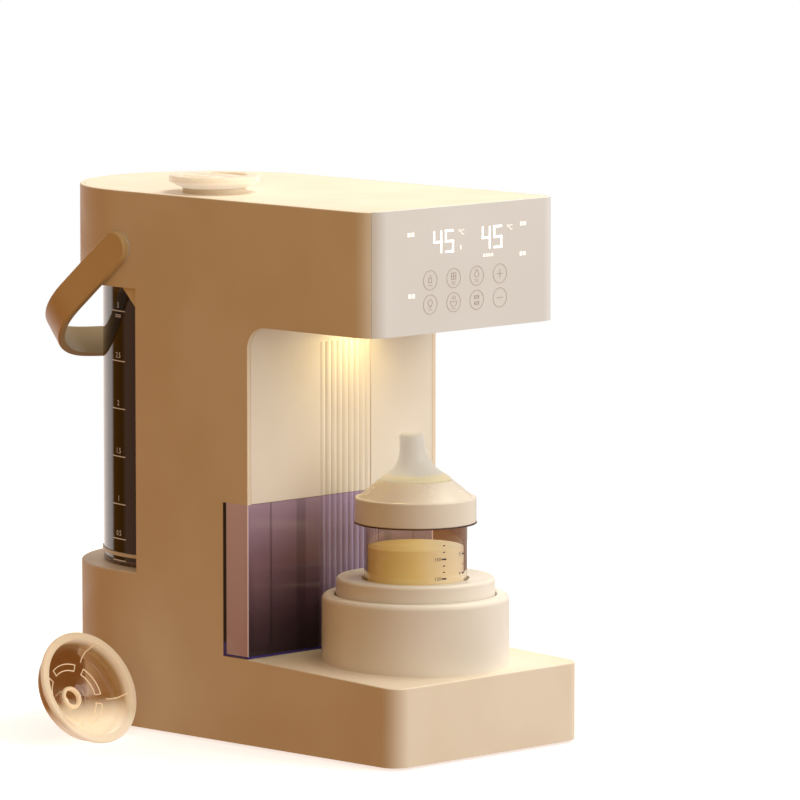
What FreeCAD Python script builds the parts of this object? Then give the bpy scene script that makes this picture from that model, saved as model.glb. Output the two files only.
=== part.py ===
import FreeCAD, Part

import math
import os

from FreeCAD import Vector

# Baby formula maker: a water dispenser that fills and warms a feeding bottle.
# Millimetres, +Z up, the floor at Z = 0, the front towards -Y, +X to the right of a viewer
# who faces the front. The origin is the middle of the base's footprint.

# ---- body, overall ----
BODY_WIDTH = 170.0
BODY_LENGTH = 341.0
BODY_TOP = 350.2
SKIRT_CLEARANCE = 2.0          # the housing's lower edge above the floor
HEAD_SETBACK = 21.5            # head front behind base front
COLUMN_SETBACK = 133.0         # column face behind base front
DECK_FRONT_Z = 52.3            # the deck drains gently forwards
DECK_REAR_Z = 57.3
HEAD_HEIGHT = 79.2             # body top above the bay's ceiling
LEDGE_Z = 103.0                # top of the base behind, round the tank
WINDOW_DROP = 62.7             # window's upper edge below the body top
WINDOW_AHEAD = 19.0            # side walls end this far ahead of the round back's axis
BASE_CORNER_R = 12.0
HEAD_CORNER_R = 14.0
BAY_FILLET_R = 15.0
EDGE_R = 0.9
WALL = 3.0
SEAM = 0.3                     # gap between two mouldings, also across a joint
OVERRUN = 30.0                 # how far a cutting shape runs past what it cuts
GUSSET_SIZE = 15.0
GUSSET_T = 2.0
GUSSET_LAP = 4.0               # how far a gusset runs on behind the side wall
COLUMN_DEPTH = 46.5            # column face to tank front

# ---- panels, covers and their fixings ----
PANEL_T = 2.5
PANEL_WINDOW_MARGIN = 18.0
PANEL_WINDOW_INSET = 8.0       # window behind the panel, inside its upper and lower edges
LINER_T = 2.5
FLUTE_COUNT = 9
FLUTE_PITCH = 5.1
FLUTE_DEPTH = 0.9
FLUTE_CENTRE_X = 3.0
SMOKED_TOP_Z = 156.5
SMOKED_DEPTH = 22.5
SMOKED_T = 3.0
TOP_COVER_T = 3.0
COVER_LEDGE = 2.5
BASE_PLATE_T = 3.0
FOOT_LENGTH = 110.0            # rubber strips across the base
FOOT_WIDTH = 12.0
FOOT_EDGE_R = 0.8
FRONT_FOOT_INSET = 20.0
REAR_FOOT_INSET = 50.0
BOSS_R = 4.0
BOSS_HEIGHT = 24.0
BOSS_BITE = 0.5                # how far a boss runs into the side wall
FRONT_BOSS_INSET = 42.0
MIDDLE_BOSS_SETBACK = 18.0     # behind the column's face
SCREW_R = 1.5
SCREW_FIT = 0.1                # between a screw and the side of its hole
SCREW_HEAD_R = 3.0
SCREW_HEAD_T = 1.5
SCREW_LENGTH = 12.0
VENT_COUNT = 7
VENT_LENGTH = 36.0
VENT_WIDTH = 3.0
VENT_PITCH = 8.0

# ---- water tank, fill port and lid ----
TANK_SET_IN = 14.5             # tank side inside the body's side
TANK_WALL = 2.5
TANK_CORNER_R = 22.0
TANK_CAP_T = 6.0
CAP_LIP = 5.0                  # lip that locates the cap inside the tank's wall
CAP_LIP_T = 1.9
CAP_LIP_FIT = 0.1
PARTITION_T = 2.5              # wall between column and tank
BAND_Z = 109.2
BAND_HEIGHT = 2.2
BAND_PROUD = 1.0
PORT_SET_IN = 22.0             # fill port's axis inside the tank's side
PORT_SETBACK = 21.5            # and behind the tank's front
PORT_R = 16.5
PORT_WALL = 2.0
SPIGOT_LENGTH = 8.0            # port's spigot below the top cover
COLLAR_R = 20.6
COLLAR_HEIGHT = 3.0
LID_R = 29.5
LID_HEIGHT = 11.1
LID_RIM_HEIGHT = 4.1
LID_DISH_R = 20.0
LID_DISH_DEPTH = 2.0
LID_DISH_SLOPE = 1.5           # dish wall leans out by this much
LID_EDGE_R = 1.2
LID_PLUG_EDGE_R = 0.8
LID_FIT = 0.4                  # lid's seat outside the port's collar
LID_GRIP_WIDTH = 17.0          # bar between the two finger recesses
LID_PLUG_DEPTH = 11.0
LID_SEAL_T = 2.4
SEAL_PINCH = 0.1

# ---- carry handle ----
PIVOT_AHEAD = 3.0              # pivot ahead of the round back's axis
PIVOT_DROP = 37.2              # pivot below the body top
HANDLE_T = 4.5
HANDLE_NOSE_R = 10.8
HANDLE_WIDTH = 21.2
HANDLE_BEND_R = 61.0           # outside of the bends between arms and crossbar
HANDLE_CROWN_R = 242.0         # outside of the crossbar's slight crown
HANDLE_EDGE_R = 1.2
HANDLE_TANK_GAP = 8.6          # crossbar's lower edge behind the tank at rest
HANDLE_REST_DEG = 39.0         # how far below level the arms hang to the rear
HANDLE_SIDE_GAP = 1.0
PIN_R = 6.0
PIN_RUNNING_GAP = 0.08
PIN_FIT = 0.05                 # pin in the handle's socket
BUSH_WALL = 3.0
BUSH_FLANGE = 1.2
BUSH_FLANGE_T = 0.7
PIVOT_BOSS_LENGTH = 6.0

# ---- warmer ----
CUP_GAP = 6.3                  # cup to column
CUP_FRONT_MARGIN = 6.7         # cup to base front
CUP_WALL = 3.5
CUP_HEIGHT = 43.7
CUP_RIM_WIDTH = 8.0
CUP_RIM_R = 3.5
WELL_DEPTH = 32.0
CUP_FLOOR_T = 3.0
RING_SEAT_DEPTH = 15.0
RING_SEAT_WIDTH = 4.0
RING_GAP = 1.2                 # ring inside the cup's mouth
RING_PROUD = 11.0
RING_WALL = 2.5
RING_BORE_GAP = 1.5
RING_SLEEVE = 14.0
RING_DIP = 1.2                 # bore's edge below the ring's top
RING_SLOPE_WIDTH = 6.0
RING_EDGE_R = 2.4
PLATE_INSET = 20.0             # heating plate's edge inside the cup's
PLATE_T = 3.0
FILM_INSET = 26.0
FILM_T = 1.2
FILM_BORE_GAP = 4.0
SENSOR_R = 3.0
SENSOR_FIT = 0.2               # round the sensor's tip in the plate
SENSOR_TAIL = 4.0              # sensor's body below the well's floor
SENSOR_FLANGE = 2.5
SENSOR_FLANGE_T = 1.5
SENSOR_HOLE_R = 10.0           # hole in the deck for the sensor's leads
CUP_BOSS_INSET = 12.0
CUP_BOSS_COUNT = 3
CUP_SCREW_STOP = 0.8           # screw holes end this far below the well's floor
CUP_SCREW_GAP = 0.4            # left above each screw's tip and over its head
CUP_SCREW_HEAD_T = 1.8

# ---- bottle ----
BOTTLE_R = 33.0
GLASS_T = 2.2
BOTTLE_HEIGHT = 89.0
BOTTLE_HEEL_R = 7.0
NECK_START = 74.7              # height where the collar begins
COLLAR_BAND_R = 38.8
COLLAR_BAND_HEIGHT = 16.3
COLLAR_CONE_R = 36.4
COLLAR_MOUTH_R = 23.4
COLLAR_CONE_HEIGHT = 10.7
COLLAR_FOOT_R = 0.8
COLLAR_SHOULDER_R = 1.2
COLLAR_LIP_R = 0.6
COLLAR_LIP_T = 2.0
COLLAR_LIP_DEPTH = 2.5
TEAT_TIP_R = 7.8
TEAT_HEIGHT = 30.0
TEAT_T = 1.8
TEAT_FLANGE = 5.5
TEAT_FLANGE_INSET = 0.6        # flange inside the glass's edge
TEAT_MOUTH_INSET = 8.0
TEAT_NECK_GAP = 0.2            # teat to the collar's lip
TEAT_FOOT_INSET = 0.6
TEAT_FLARE_SHARE = 0.45        # share of the height where the flare ends
TEAT_FLARE_R = 26.0
TEAT_INNER_FLARE_R = 20.0
TEAT_STEM_SPREAD = 0.2
TEAT_WAIST_INSET = 0.6
TEAT_WAIST_R = 12.0
TEAT_TIP_LENGTH = 8.0
TEAT_TIP_EDGE_R = 3.0
MILK_HEIGHT = 59.2
MILK_GAP = 0.1

# ---- funnel, standing beside the base ----
FUNNEL_R = 38.0
FUNNEL_RIM = 5.5
FUNNEL_RIM_T = 4.0
FUNNEL_DEPTH = 21.6
FUNNEL_WALL = 1.6
FUNNEL_HEEL_R = 33.5
FUNNEL_HEEL_DEPTH = 14.0
FUNNEL_HEEL_BEND = 6.0
FUNNEL_HOLE_R = 5.0
FUNNEL_SPOUT = 8.0
FUNNEL_THROAT_WIDTH = 6.0
FUNNEL_THROAT_RISE = 2.0
FUNNEL_THROAT_R = 6.0
FUNNEL_INNER_EDGE_R = 1.6
FUNNEL_BACK_EDGE_R = 1.8
FUNNEL_FRONT_EDGE_R = 2.2
LEAN_LOW = 10                  # degrees between which the funnel's resting lean is sought
LEAN_HIGH = 60
LEAN_STEPS = 20                # tries per degree
OUTLINE_POINTS = 400
FUNNEL_GAP = 11.6              # funnel's rim to the body's side
FUNNEL_Y = 56.6

# ---- water and electric parts inside ----
OUTLET_SETBACK = 51.0          # drain behind the tank's front
OUTLET_R = 8.0
OUTLET_CUP = 10.0
OUTLET_SEAT = 2.0              # tank floor that laps the drain
PUMP_SET_IN = 35.0             # pump's axis inside the body's side
PUMP_R = 20.0
PUMP_HEIGHT = 16.0
PUMP_WALL = 2.5
MOTOR_R = 14.0
MOTOR_HEIGHT = 28.0
SHAFT_R = 1.5
SHAFT_GAP = 0.08
IMPELLER_R = 14.0
IMPELLER_T = 2.0
BLADE_COUNT = 6
BLADE_T = 1.4
HEATER_SET_IN = 39.0           # heater's axis inside the body's side
HEATER_STANDOFF = 1.2          # heater to the wall behind it
HEATER_R = 13.0
HEATER_BOTTOM_Z = 118.0
HEATER_LENGTH = 104.0
SADDLE_HEIGHT = 8.0
SADDLE_MARGIN = 4.0
LOW_SADDLE = 16.0              # above the heater's lower end
HIGH_SADDLE = 24.0             # below its upper end
PIPE_R = 4.0                   # outside of every pipe stub that a hose is pushed over
PIPE_WALL = 1.2
STUB_LENGTH = 10.0
HOSE_GRIP = 8.0                # how far a hose goes over its stub
HOSE_FIT = 0.05
HOSE_WALL = 1.2
HOSE_BEND_R = 16.0
NOZZLE_R = 9.0
NOZZLE_DROP = 4.0
NOZZLE_BORE_R = 2.5
NOZZLE_MOUTH_R = 5.5
NOZZLE_FLANGE = 4.0
NOZZLE_FLANGE_T = 2.5
NOZZLE_SHOULDER = 6.0          # flange and taper under the nozzle's pipe
BOARD_T = 1.6
BOARD_MARGIN = 5.0             # control board inside the head, above and below
DISPLAY_WIDTH = 96.0
DISPLAY_HEIGHT = 22.0
DISPLAY_DROP = 23.2            # display's middle below the body top
TOUCH_R = 4.4
TOUCH_SPRING_T = 0.8
TOUCH_COLUMNS = 4
TOUCH_PITCH_X = 20.9
TOUCH_PITCH_Z = 15.3
TOUCH_X = -1.1
TOUCH_DROP = 53.2              # touch rows' middle below the body top
LAMP_X = 8.0
LAMP_LENGTH = 36.0
LAMP_WIDTH = 11.0
LAMP_FROM_COLUMN = 26.0
LAMP_END_FLAT = 0.4            # straight left between the lens's rounded corners
LAMP_BOARD_LAP = 4.0
LENS_PROUD = 0.6
POWER_BOARD_LENGTH = 64.0
POWER_BOARD_WIDTH = 76.0
POWER_BOARD_AHEAD = 17.8       # its middle ahead of the tank bay's middle
POWER_BOARD_INSET = 9.5        # its edge from the side wall, past the screw bosses
POWER_POST = 6.0
POST_R = 3.0
POST_INSET = 5.0               # posts inside the board's edges
TRANSFORMER_LENGTH = 24.0
TRANSFORMER_WIDTH = 26.0
TRANSFORMER_HEIGHT = 22.0
CAPACITOR_R = 6.0
CAPACITOR_HEIGHT = 20.0
RELAY_SIZE = 16.0
RELAY_HEIGHT = 15.0
BOARD_PART_INSET = 6.0         # board parts inside the board's edges
CHIP_LENGTH = 24.0
CHIP_HEIGHT = 16.0
CHIP_T = 2.0
PLUG_LENGTH = 16.0
PLUG_HEIGHT = 8.0
PLUG_DEPTH = 7.0
PLUG_X = 42.0
INLET_WIDTH = 28.0
INLET_HEIGHT = 20.0
INLET_DEPTH = 20.0
INLET_Z = 30.0
INLET_WALL = 3.0
INLET_PIN_R = 1.6
INLET_PIN_X = 5.5
INLET_PIN_LENGTH = 8.0
INLET_RECESS = 1.6

# ---- places that follow from the sizes above ----
HALF = BODY_WIDTH / 2
FRONT_Y = -BODY_LENGTH / 2
BACK_Y = BODY_LENGTH / 2
BACK_CENTRE_Y = BACK_Y - HALF
HEAD_FRONT_Y = FRONT_Y + HEAD_SETBACK
COLUMN_Y = FRONT_Y + COLUMN_SETBACK
SMOKED_REAR_Y = COLUMN_Y + SMOKED_DEPTH
TANK_R = HALF - TANK_SET_IN
TANK_FRONT_Y = COLUMN_Y + COLUMN_DEPTH
PARTITION_Y = TANK_FRONT_Y - BAND_PROUD - SEAM - PARTITION_T
INNER_HALF = HALF - WALL
WINDOW_START_Y = BACK_CENTRE_Y - WINDOW_AHEAD
HEAD_UNDER_Z = BODY_TOP - HEAD_HEIGHT
WINDOW_TOP_Z = BODY_TOP - WINDOW_DROP
PIVOT_Y = BACK_CENTRE_Y - PIVOT_AHEAD
PIVOT_Z = BODY_TOP - PIVOT_DROP
PORT_X = -(TANK_R - PORT_SET_IN)
PORT_Y = TANK_FRONT_Y + PORT_SETBACK
OUTLET_Y = TANK_FRONT_Y + OUTLET_SETBACK
PUMP_X = HALF - PUMP_SET_IN
HEATER_X = -(HALF - HEATER_SET_IN)
HEATER_Y = PARTITION_Y - HEATER_STANDOFF - HEATER_R
DISPLAY_Z = BODY_TOP - DISPLAY_DROP
TOUCH_Z = BODY_TOP - TOUCH_DROP
FUNNEL_X = -(HALF + FUNNEL_GAP + FUNNEL_R)
CUP_R = (COLUMN_SETBACK - CUP_GAP - CUP_FRONT_MARGIN) / 2
CUP_Y = COLUMN_Y - CUP_GAP - CUP_R
CUP_MOUTH_R = CUP_R - CUP_RIM_WIDTH
CUP_BOSS_RADIUS = CUP_R - CUP_BOSS_INSET
RING_R = CUP_MOUTH_R - RING_GAP
PLATE_R = CUP_R - PLATE_INSET
FILM_R = CUP_R - FILM_INSET
PLATE_BOTTOM_Z = SKIRT_CLEARANCE + 0.5
PLATE_TOP_Z = PLATE_BOTTOM_Z + BASE_PLATE_T
COVER_BOTTOM_Z = BODY_TOP - TOP_COVER_T
SHELF_Z = WINDOW_TOP_Z + WALL  # top face of the head's floor over the tank
SMALL = 0.01


def deck_z(y):
    slope = (DECK_REAR_Z - DECK_FRONT_Z) / COLUMN_SETBACK
    return DECK_FRONT_Z + slope * (y - FRONT_Y)


CUP_TOP_Z = deck_z(CUP_Y) + CUP_HEIGHT
WELL_Z = CUP_TOP_Z - WELL_DEPTH
HOTPLATE_Z = WELL_Z + PLATE_T
RING_SEAT_Z = CUP_TOP_Z - RING_SEAT_DEPTH
RING_TOP_Z = CUP_TOP_Z + RING_PROUD
RING_BORE_R = BOTTLE_R + RING_BORE_GAP
BOTTLE_Z = HOTPLATE_Z + SEAM
COLLAR_Z = BOTTLE_Z + NECK_START
TANK_FLOOR_Z = LEDGE_Z + SEAM
TANK_TOP_Z = WINDOW_TOP_Z - SEAM
TANK_BACK_Y = BACK_CENTRE_Y + TANK_R


# ---- shapes ----
def on_plan(a, b):
    return Vector(a, b, 0)


def on_side(a, b):
    return Vector(0, a, b)


def on_section(a, b):
    return Vector(a, 0, b)


def rounded_wire(corners, place):
    """Closed wire through (a, b) or (a, b, radius) corners, with tangent arcs at the radii."""
    spots = [Vector(c[0], c[1], 0) for c in corners]
    radii = [c[2] if len(c) > 2 else 0 for c in corners]
    arcs = []
    for i, spot in enumerate(spots):
        back = (spots[i - 1] - spot).normalize()
        ahead = (spots[(i + 1) % len(spots)] - spot).normalize()
        if radii[i] <= 0:
            arcs.append((spot, None, spot))
            continue
        half_turn = back.getAngle(ahead) / 2
        reach = radii[i] / math.tan(half_turn)
        bisector = (back + ahead).normalize()
        centre = spot + bisector * (radii[i] / math.sin(half_turn))
        arcs.append((spot + back * reach, centre - bisector * radii[i], spot + ahead * reach))
    edges = []
    for i, (start, middle, end) in enumerate(arcs):
        if middle is not None:
            edges.append(Part.Arc(*[place(p.x, p.y) for p in (start, middle, end)]).toShape())
        following = arcs[(i + 1) % len(arcs)][0]
        if (following - end).Length > SMALL:
            ends = (place(end.x, end.y), place(following.x, following.y))
            edges.append(Part.LineSegment(*ends).toShape())
    return Part.Wire(edges)


def prism(corners, low, high):
    face = Part.Face(rounded_wire(corners, on_plan))
    face.translate(Vector(0, 0, low))
    return face.extrude(Vector(0, 0, high - low))


def side_prism(corners, x_low, x_high):
    face = Part.Face(rounded_wire(corners, on_side))
    face.translate(Vector(x_low, 0, 0))
    return face.extrude(Vector(x_high - x_low, 0, 0))


def turned(corners, x=0.0, y=0.0):
    face = Part.Face(rounded_wire(corners, on_section))
    solid = face.revolve(Vector(0, 0, 0), Vector(0, 0, 1), 360)
    solid.translate(Vector(x, y, 0))
    return solid


def block(x, y, z):
    """Box between the low and high value of each pair."""
    return Part.makeBox(x[1] - x[0], y[1] - y[0], z[1] - z[0], Vector(x[0], y[0], z[0]))


def post(radius, low, high, x=0.0, y=0.0):
    return Part.makeCylinder(radius, high - low, Vector(x, y, low))


def tube(outer, inner, low, high, x=0.0, y=0.0):
    return post(outer, low, high, x, y).cut(post(inner, low - 1, high + 1, x, y))


def cross_post(radius, x_low, x_high, y, z):
    return Part.makeCylinder(radius, x_high - x_low, Vector(x_low, y, z), Vector(1, 0, 0))


def stub(start, direction, length):
    """Solid pipe end and its bore, for a hose to be pushed over."""
    bore_start = start - direction
    outside = Part.makeCylinder(PIPE_R, length, start, direction)
    bore = Part.makeCylinder(PIPE_R - PIPE_WALL, length + 2, bore_start, direction)
    return outside, bore


def joined(shapes):
    whole = shapes[0].fuse(shapes[1:]) if len(shapes) > 1 else shapes[0]
    return whole.removeSplitter()


def softened(shape, radius, wanted):
    """Shape with a fillet on every edge that wanted() accepts."""
    edges = [edge for edge in shape.Edges if wanted(edge)]
    return shape.makeFillet(radius, edges) if edges else shape


def plan(front_y, corner_r, inset=0.0):
    """Round-backed outline of the body, moved inwards by inset."""
    x = HALF - inset
    front_r = max(corner_r - inset, 1.0)
    back = BACK_Y - inset
    front = front_y + inset
    return [(-x, front, front_r), (x, front, front_r), (x, back, x), (-x, back, x)]


def tank_plan(grow=0.0):
    x = TANK_R + grow
    front = TANK_FRONT_Y - grow
    back = TANK_BACK_Y + grow
    corner = TANK_CORNER_R + grow
    return [(-x, front, corner), (x, front, corner), (x, back, x), (-x, back, x)]


def hose(points):
    """Hose through the points, straight between bends of HOSE_BEND_R."""
    inner = PIPE_R + HOSE_FIT
    outer = inner + HOSE_WALL
    edges = []
    start = points[0]
    for before, here, after in zip(points, points[1:], points[2:]):
        back = (before - here).normalize()
        ahead = (after - here).normalize()
        half_turn = back.getAngle(ahead) / 2
        reach = HOSE_BEND_R / math.tan(half_turn)
        bisector = (back + ahead).normalize()
        crown = here + bisector * (HOSE_BEND_R / math.sin(half_turn) - HOSE_BEND_R)
        bend_start = here + back * reach
        bend_end = here + ahead * reach
        edges.append(Part.LineSegment(start, bend_start).toShape())
        edges.append(Part.Arc(bend_start, crown, bend_end).toShape())
        start = bend_end
    edges.append(Part.LineSegment(start, points[-1]).toShape())
    path = Part.Wire(edges)
    direction = points[1] - points[0]
    swept = []
    for radius in (outer, inner):
        ring = Part.Wire([Part.makeCircle(radius, points[0], direction)])
        swept.append(path.makePipeShell([ring], True, False))
    return swept[0].cut(swept[1])


# ---- body mouldings ----
def bay_space(x_half):
    """The open bay over the deck, between column and head front."""
    ahead = FRONT_Y - OVERRUN
    corners = [
        (ahead, deck_z(ahead)),
        (COLUMN_Y, DECK_REAR_Z),
        (COLUMN_Y, HEAD_UNDER_Z, BAY_FILLET_R),
        (ahead, HEAD_UNDER_Z),
    ]
    return side_prism(corners, -x_half, x_half)


def boss_places():
    x = INNER_HALF - BOSS_R + BOSS_BITE
    rows = (FRONT_Y + FRONT_BOSS_INSET, COLUMN_Y + MIDDLE_BOSS_SETBACK, BACK_CENTRE_Y)
    return [(side * x, y) for y in rows for side in (-1, 1)]


def housing_cavity():
    lower = prism(plan(FRONT_Y, BASE_CORNER_R, WALL), -1, LEDGE_Z - WALL)
    ahead = FRONT_Y - OVERRUN
    roof = [
        (ahead, -OVERRUN),
        (ahead, deck_z(ahead) - WALL),
        (COLUMN_Y, DECK_REAR_Z - WALL),
        (SMOKED_REAR_Y, DECK_REAR_Z - WALL),
        (SMOKED_REAR_Y, LEDGE_Z + 1),
        (BACK_Y + OVERRUN, LEDGE_Z + 1),
        (BACK_Y + OVERRUN, -OVERRUN),
    ]
    lower = lower.common(side_prism(roof, -HALF, HALF))
    x = (-INNER_HALF, INNER_HALF)
    column = block(x, (COLUMN_Y - 1, PARTITION_Y), (DECK_REAR_Z, SHELF_Z + 1))
    bend_y = (COLUMN_Y - BAY_FILLET_R - 1, COLUMN_Y)
    bend_z = (HEAD_UNDER_Z - BAY_FILLET_R - 1, HEAD_UNDER_Z)
    bend = block(x, bend_y, bend_z)
    column_foot = block(x, (SMOKED_REAR_Y, PARTITION_Y), (DECK_REAR_Z - WALL - 1, DECK_REAR_Z + 1))
    tank_bay = block(x, (COLUMN_Y, WINDOW_START_Y + 1), (LEDGE_Z, WINDOW_TOP_Z))
    inset = WALL
    inner = plan(HEAD_FRONT_Y + PANEL_T, HEAD_CORNER_R, inset)
    head_front = prism(inner, HEAD_UNDER_Z - 1, COVER_BOTTOM_Z - WALL)
    head_front = head_front.common(block(x, (HEAD_FRONT_Y, PARTITION_Y), (0, BODY_TOP)))
    head_rear = prism(inner, SHELF_Z, COVER_BOTTOM_Z - WALL)
    mouth = prism(plan(HEAD_FRONT_Y + PANEL_T, HEAD_CORNER_R, inset + COVER_LEDGE), SHELF_Z, BODY_TOP)
    rebate = prism(plan(HEAD_FRONT_Y, HEAD_CORNER_R, WALL), COVER_BOTTOM_Z, BODY_TOP + 1)
    return joined([lower, column, bend, column_foot, tank_bay, head_front, head_rear, mouth, rebate])


def panel_wrap_y():
    """The panel ends half way round the head's corners."""
    return HEAD_FRONT_Y + HEAD_CORNER_R * (1 - math.sqrt(0.5))


def panel_space(clearance):
    outer = prism(plan(HEAD_FRONT_Y, HEAD_CORNER_R), HEAD_UNDER_Z - 1, BODY_TOP + 1)
    inner = prism(plan(HEAD_FRONT_Y, HEAD_CORNER_R, PANEL_T), HEAD_UNDER_Z - 2, BODY_TOP + 2)
    front = block((-HALF, HALF), (HEAD_FRONT_Y - 1, panel_wrap_y() - clearance), (0, BODY_TOP + 2))
    return outer.cut(inner).common(front)


def main_housing():
    base = prism(plan(FRONT_Y, BASE_CORNER_R), SKIRT_CLEARANCE, DECK_REAR_Z + 2)
    tower = prism(plan(HEAD_FRONT_Y, HEAD_CORNER_R), SKIRT_CLEARANCE, BODY_TOP)
    form = joined([base, tower]).cut(bay_space(HALF + 1))
    rear = (WINDOW_START_Y, BACK_Y + OVERRUN)
    form = form.cut(block((-HALF - 1, HALF + 1), rear, (LEDGE_Z, WINDOW_TOP_Z)))
    form = softened(form, EDGE_R, rim_edge)
    smoked = block((-HALF - 1, HALF + 1), (COLUMN_Y - 1, SMOKED_REAR_Y), (DECK_REAR_Z, SMOKED_TOP_Z))
    form = form.cut([housing_cavity(), smoked, panel_space(0)])
    form = form.fuse(housing_bosses() + housing_gussets())
    return form.cut(housing_holes()).removeSplitter()


def rim_edge(edge):
    """Outer horizontal edges of the base's deck and ledge and of the head's top."""
    box = edge.BoundBox
    level = box.ZLength < SMALL
    on_top = level and abs(box.ZMax - BODY_TOP) < SMALL
    on_ledge = level and abs(box.ZMax - LEDGE_Z) < SMALL and box.YMax > BACK_CENTRE_Y
    on_front = level and abs(box.YMax - FRONT_Y) < SMALL and box.ZMin > SKIRT_CLEARANCE + 1
    return on_top or on_ledge or on_front


def housing_bosses():
    inside = prism(plan(FRONT_Y, BASE_CORNER_R, WALL / 2), PLATE_TOP_Z, LEDGE_Z)
    shapes = []
    for x, y in boss_places():
        shapes.append(post(BOSS_R, PLATE_TOP_Z, PLATE_TOP_Z + BOSS_HEIGHT, x, y).common(inside))
    for side in (-1, 1):
        inner = side * (INNER_HALF - PIVOT_BOSS_LENGTH)
        ends = sorted((inner, side * (INNER_HALF + WALL / 2)))
        radius = PIN_R + PIN_RUNNING_GAP + BUSH_WALL + WALL
        shapes.append(cross_post(radius, ends[0], ends[1], PIVOT_Y, PIVOT_Z))
    return shapes


def housing_gussets():
    """Fins set in behind the window's upper front corners."""
    front = WINDOW_START_Y - GUSSET_LAP
    triangle = [
        (front, WINDOW_TOP_Z + WALL / 2),
        (WINDOW_START_Y + GUSSET_SIZE, WINDOW_TOP_Z + WALL / 2),
        (WINDOW_START_Y + GUSSET_SIZE, WINDOW_TOP_Z),
        (WINDOW_START_Y, WINDOW_TOP_Z - GUSSET_SIZE),
        (front, WINDOW_TOP_Z - GUSSET_SIZE),
    ]
    shapes = []
    for side in (-1, 1):
        ends = sorted((side * (INNER_HALF + BOSS_BITE), side * (INNER_HALF - GUSSET_T)))
        shapes.append(side_prism(triangle, ends[0], ends[1]))
    return shapes


def housing_holes():
    holes = [post(SCREW_R + SCREW_FIT, 0, PLATE_TOP_Z + SCREW_LENGTH, x, y) for x, y in boss_places()]
    bush_r = PIN_R + PIN_RUNNING_GAP + BUSH_WALL
    holes.append(cross_post(bush_r, -HALF - 1, HALF + 1, PIVOT_Y, PIVOT_Z))
    window_z = (HEAD_UNDER_Z + PANEL_WINDOW_INSET, COVER_BOTTOM_Z - PANEL_WINDOW_INSET)
    window_x = HALF - PANEL_WINDOW_MARGIN
    window_y = (HEAD_FRONT_Y, HEAD_FRONT_Y + PANEL_T + WALL + 1)
    holes.append(block((-window_x, window_x), window_y, window_z))
    holes.append(post(chute_r() + SEAM, WINDOW_TOP_Z - 1, SHELF_Z + 1, PORT_X, PORT_Y))
    holes.append(post(OUTLET_R + SEAM, LEDGE_Z - WALL - 1, LEDGE_Z + 1, 0, OUTLET_Y))
    holes.append(post(SENSOR_HOLE_R, DECK_FRONT_Z - 2 * WALL, DECK_REAR_Z + WALL, 0, CUP_Y))
    for x, y in cup_boss_places():
        holes.append(post(SCREW_R + SEAM, DECK_FRONT_Z - 2 * WALL, DECK_REAR_Z + WALL, x, y))
    inlet_x = (-INLET_WIDTH / 2, INLET_WIDTH / 2)
    inlet_z = (INLET_Z - INLET_HEIGHT / 2, INLET_Z + INLET_HEIGHT / 2)
    holes.append(block(inlet_x, (BACK_Y - 2 * WALL, BACK_Y + 1), inlet_z))
    return holes


def control_panel():
    return panel_space(SEAM).common(block((-HALF, HALF), (FRONT_Y, 0), (HEAD_UNDER_Z, BODY_TOP)))


def top_cover():
    outline = plan(HEAD_FRONT_Y, HEAD_CORNER_R, WALL + SEAM)
    plate = prism(outline, COVER_BOTTOM_Z, BODY_TOP)
    collar = post(COLLAR_R, COVER_BOTTOM_Z, BODY_TOP + COLLAR_HEIGHT, PORT_X, PORT_Y)
    spigot_low = COVER_BOTTOM_Z - SPIGOT_LENGTH
    spigot = post(PORT_R + PORT_WALL, spigot_low, BODY_TOP, PORT_X, PORT_Y)
    bore = post(PORT_R, spigot_low - 1, BODY_TOP + COLLAR_HEIGHT + 1, PORT_X, PORT_Y)
    return joined([plate, collar, spigot]).cut(bore)


def base_plate():
    plate = prism(plan(FRONT_Y, BASE_CORNER_R, WALL + SEAM), PLATE_BOTTOM_Z, PLATE_TOP_Z)
    for x, y in boss_places():
        plate = plate.cut(post(SCREW_R + SCREW_FIT, 0, PLATE_TOP_Z + 1, x, y))
        plate = plate.cut(post(SCREW_HEAD_R + SEAM, 0, PLATE_BOTTOM_Z + SCREW_HEAD_T, x, y))
    for i in range(VENT_COUNT):
        x = (i - (VENT_COUNT - 1) / 2) * VENT_PITCH
        y = (OUTLET_Y - VENT_LENGTH / 2, OUTLET_Y + VENT_LENGTH / 2)
        slot = block((x - VENT_WIDTH / 2, x + VENT_WIDTH / 2), y, (0, PLATE_TOP_Z + 1))
        plate = plate.cut(slot)
    posts = []
    for x, y in power_post_places():
        posts.append(post(POST_R, PLATE_TOP_Z - SMALL, PLATE_TOP_Z + POWER_POST, x, y))
    for x, y in pump_post_places():
        posts.append(post(POST_R, PLATE_TOP_Z - SMALL, PLATE_TOP_Z + POWER_POST, x, y))
    return plate.fuse(posts).removeSplitter()


def foot_pads():
    """Three soft strips across the base: front, middle and rear."""
    x = FOOT_LENGTH / 2
    half = FOOT_WIDTH / 2
    round_end = half - SMALL
    pads = []
    for y in (FRONT_Y + FRONT_FOOT_INSET, 0, BACK_Y - REAR_FOOT_INSET):
        strip = prism([
            (-x, y - half, round_end),
            (x, y - half, round_end),
            (x, y + half, round_end),
            (-x, y + half, round_end),
        ], 0, PLATE_BOTTOM_Z)
        pads.append(softened(strip, FOOT_EDGE_R, lambda e: e.BoundBox.ZMax < SMALL))
    return Part.makeCompound(pads)


def base_screws():
    screws = []
    for x, y in boss_places():
        head = post(SCREW_HEAD_R, PLATE_BOTTOM_Z, PLATE_BOTTOM_Z + SCREW_HEAD_T, x, y)
        shank = post(SCREW_R, PLATE_BOTTOM_Z, PLATE_TOP_Z + SCREW_LENGTH - 2, x, y)
        screws.append(head.fuse(shank))
    return Part.makeCompound(screws)


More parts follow.
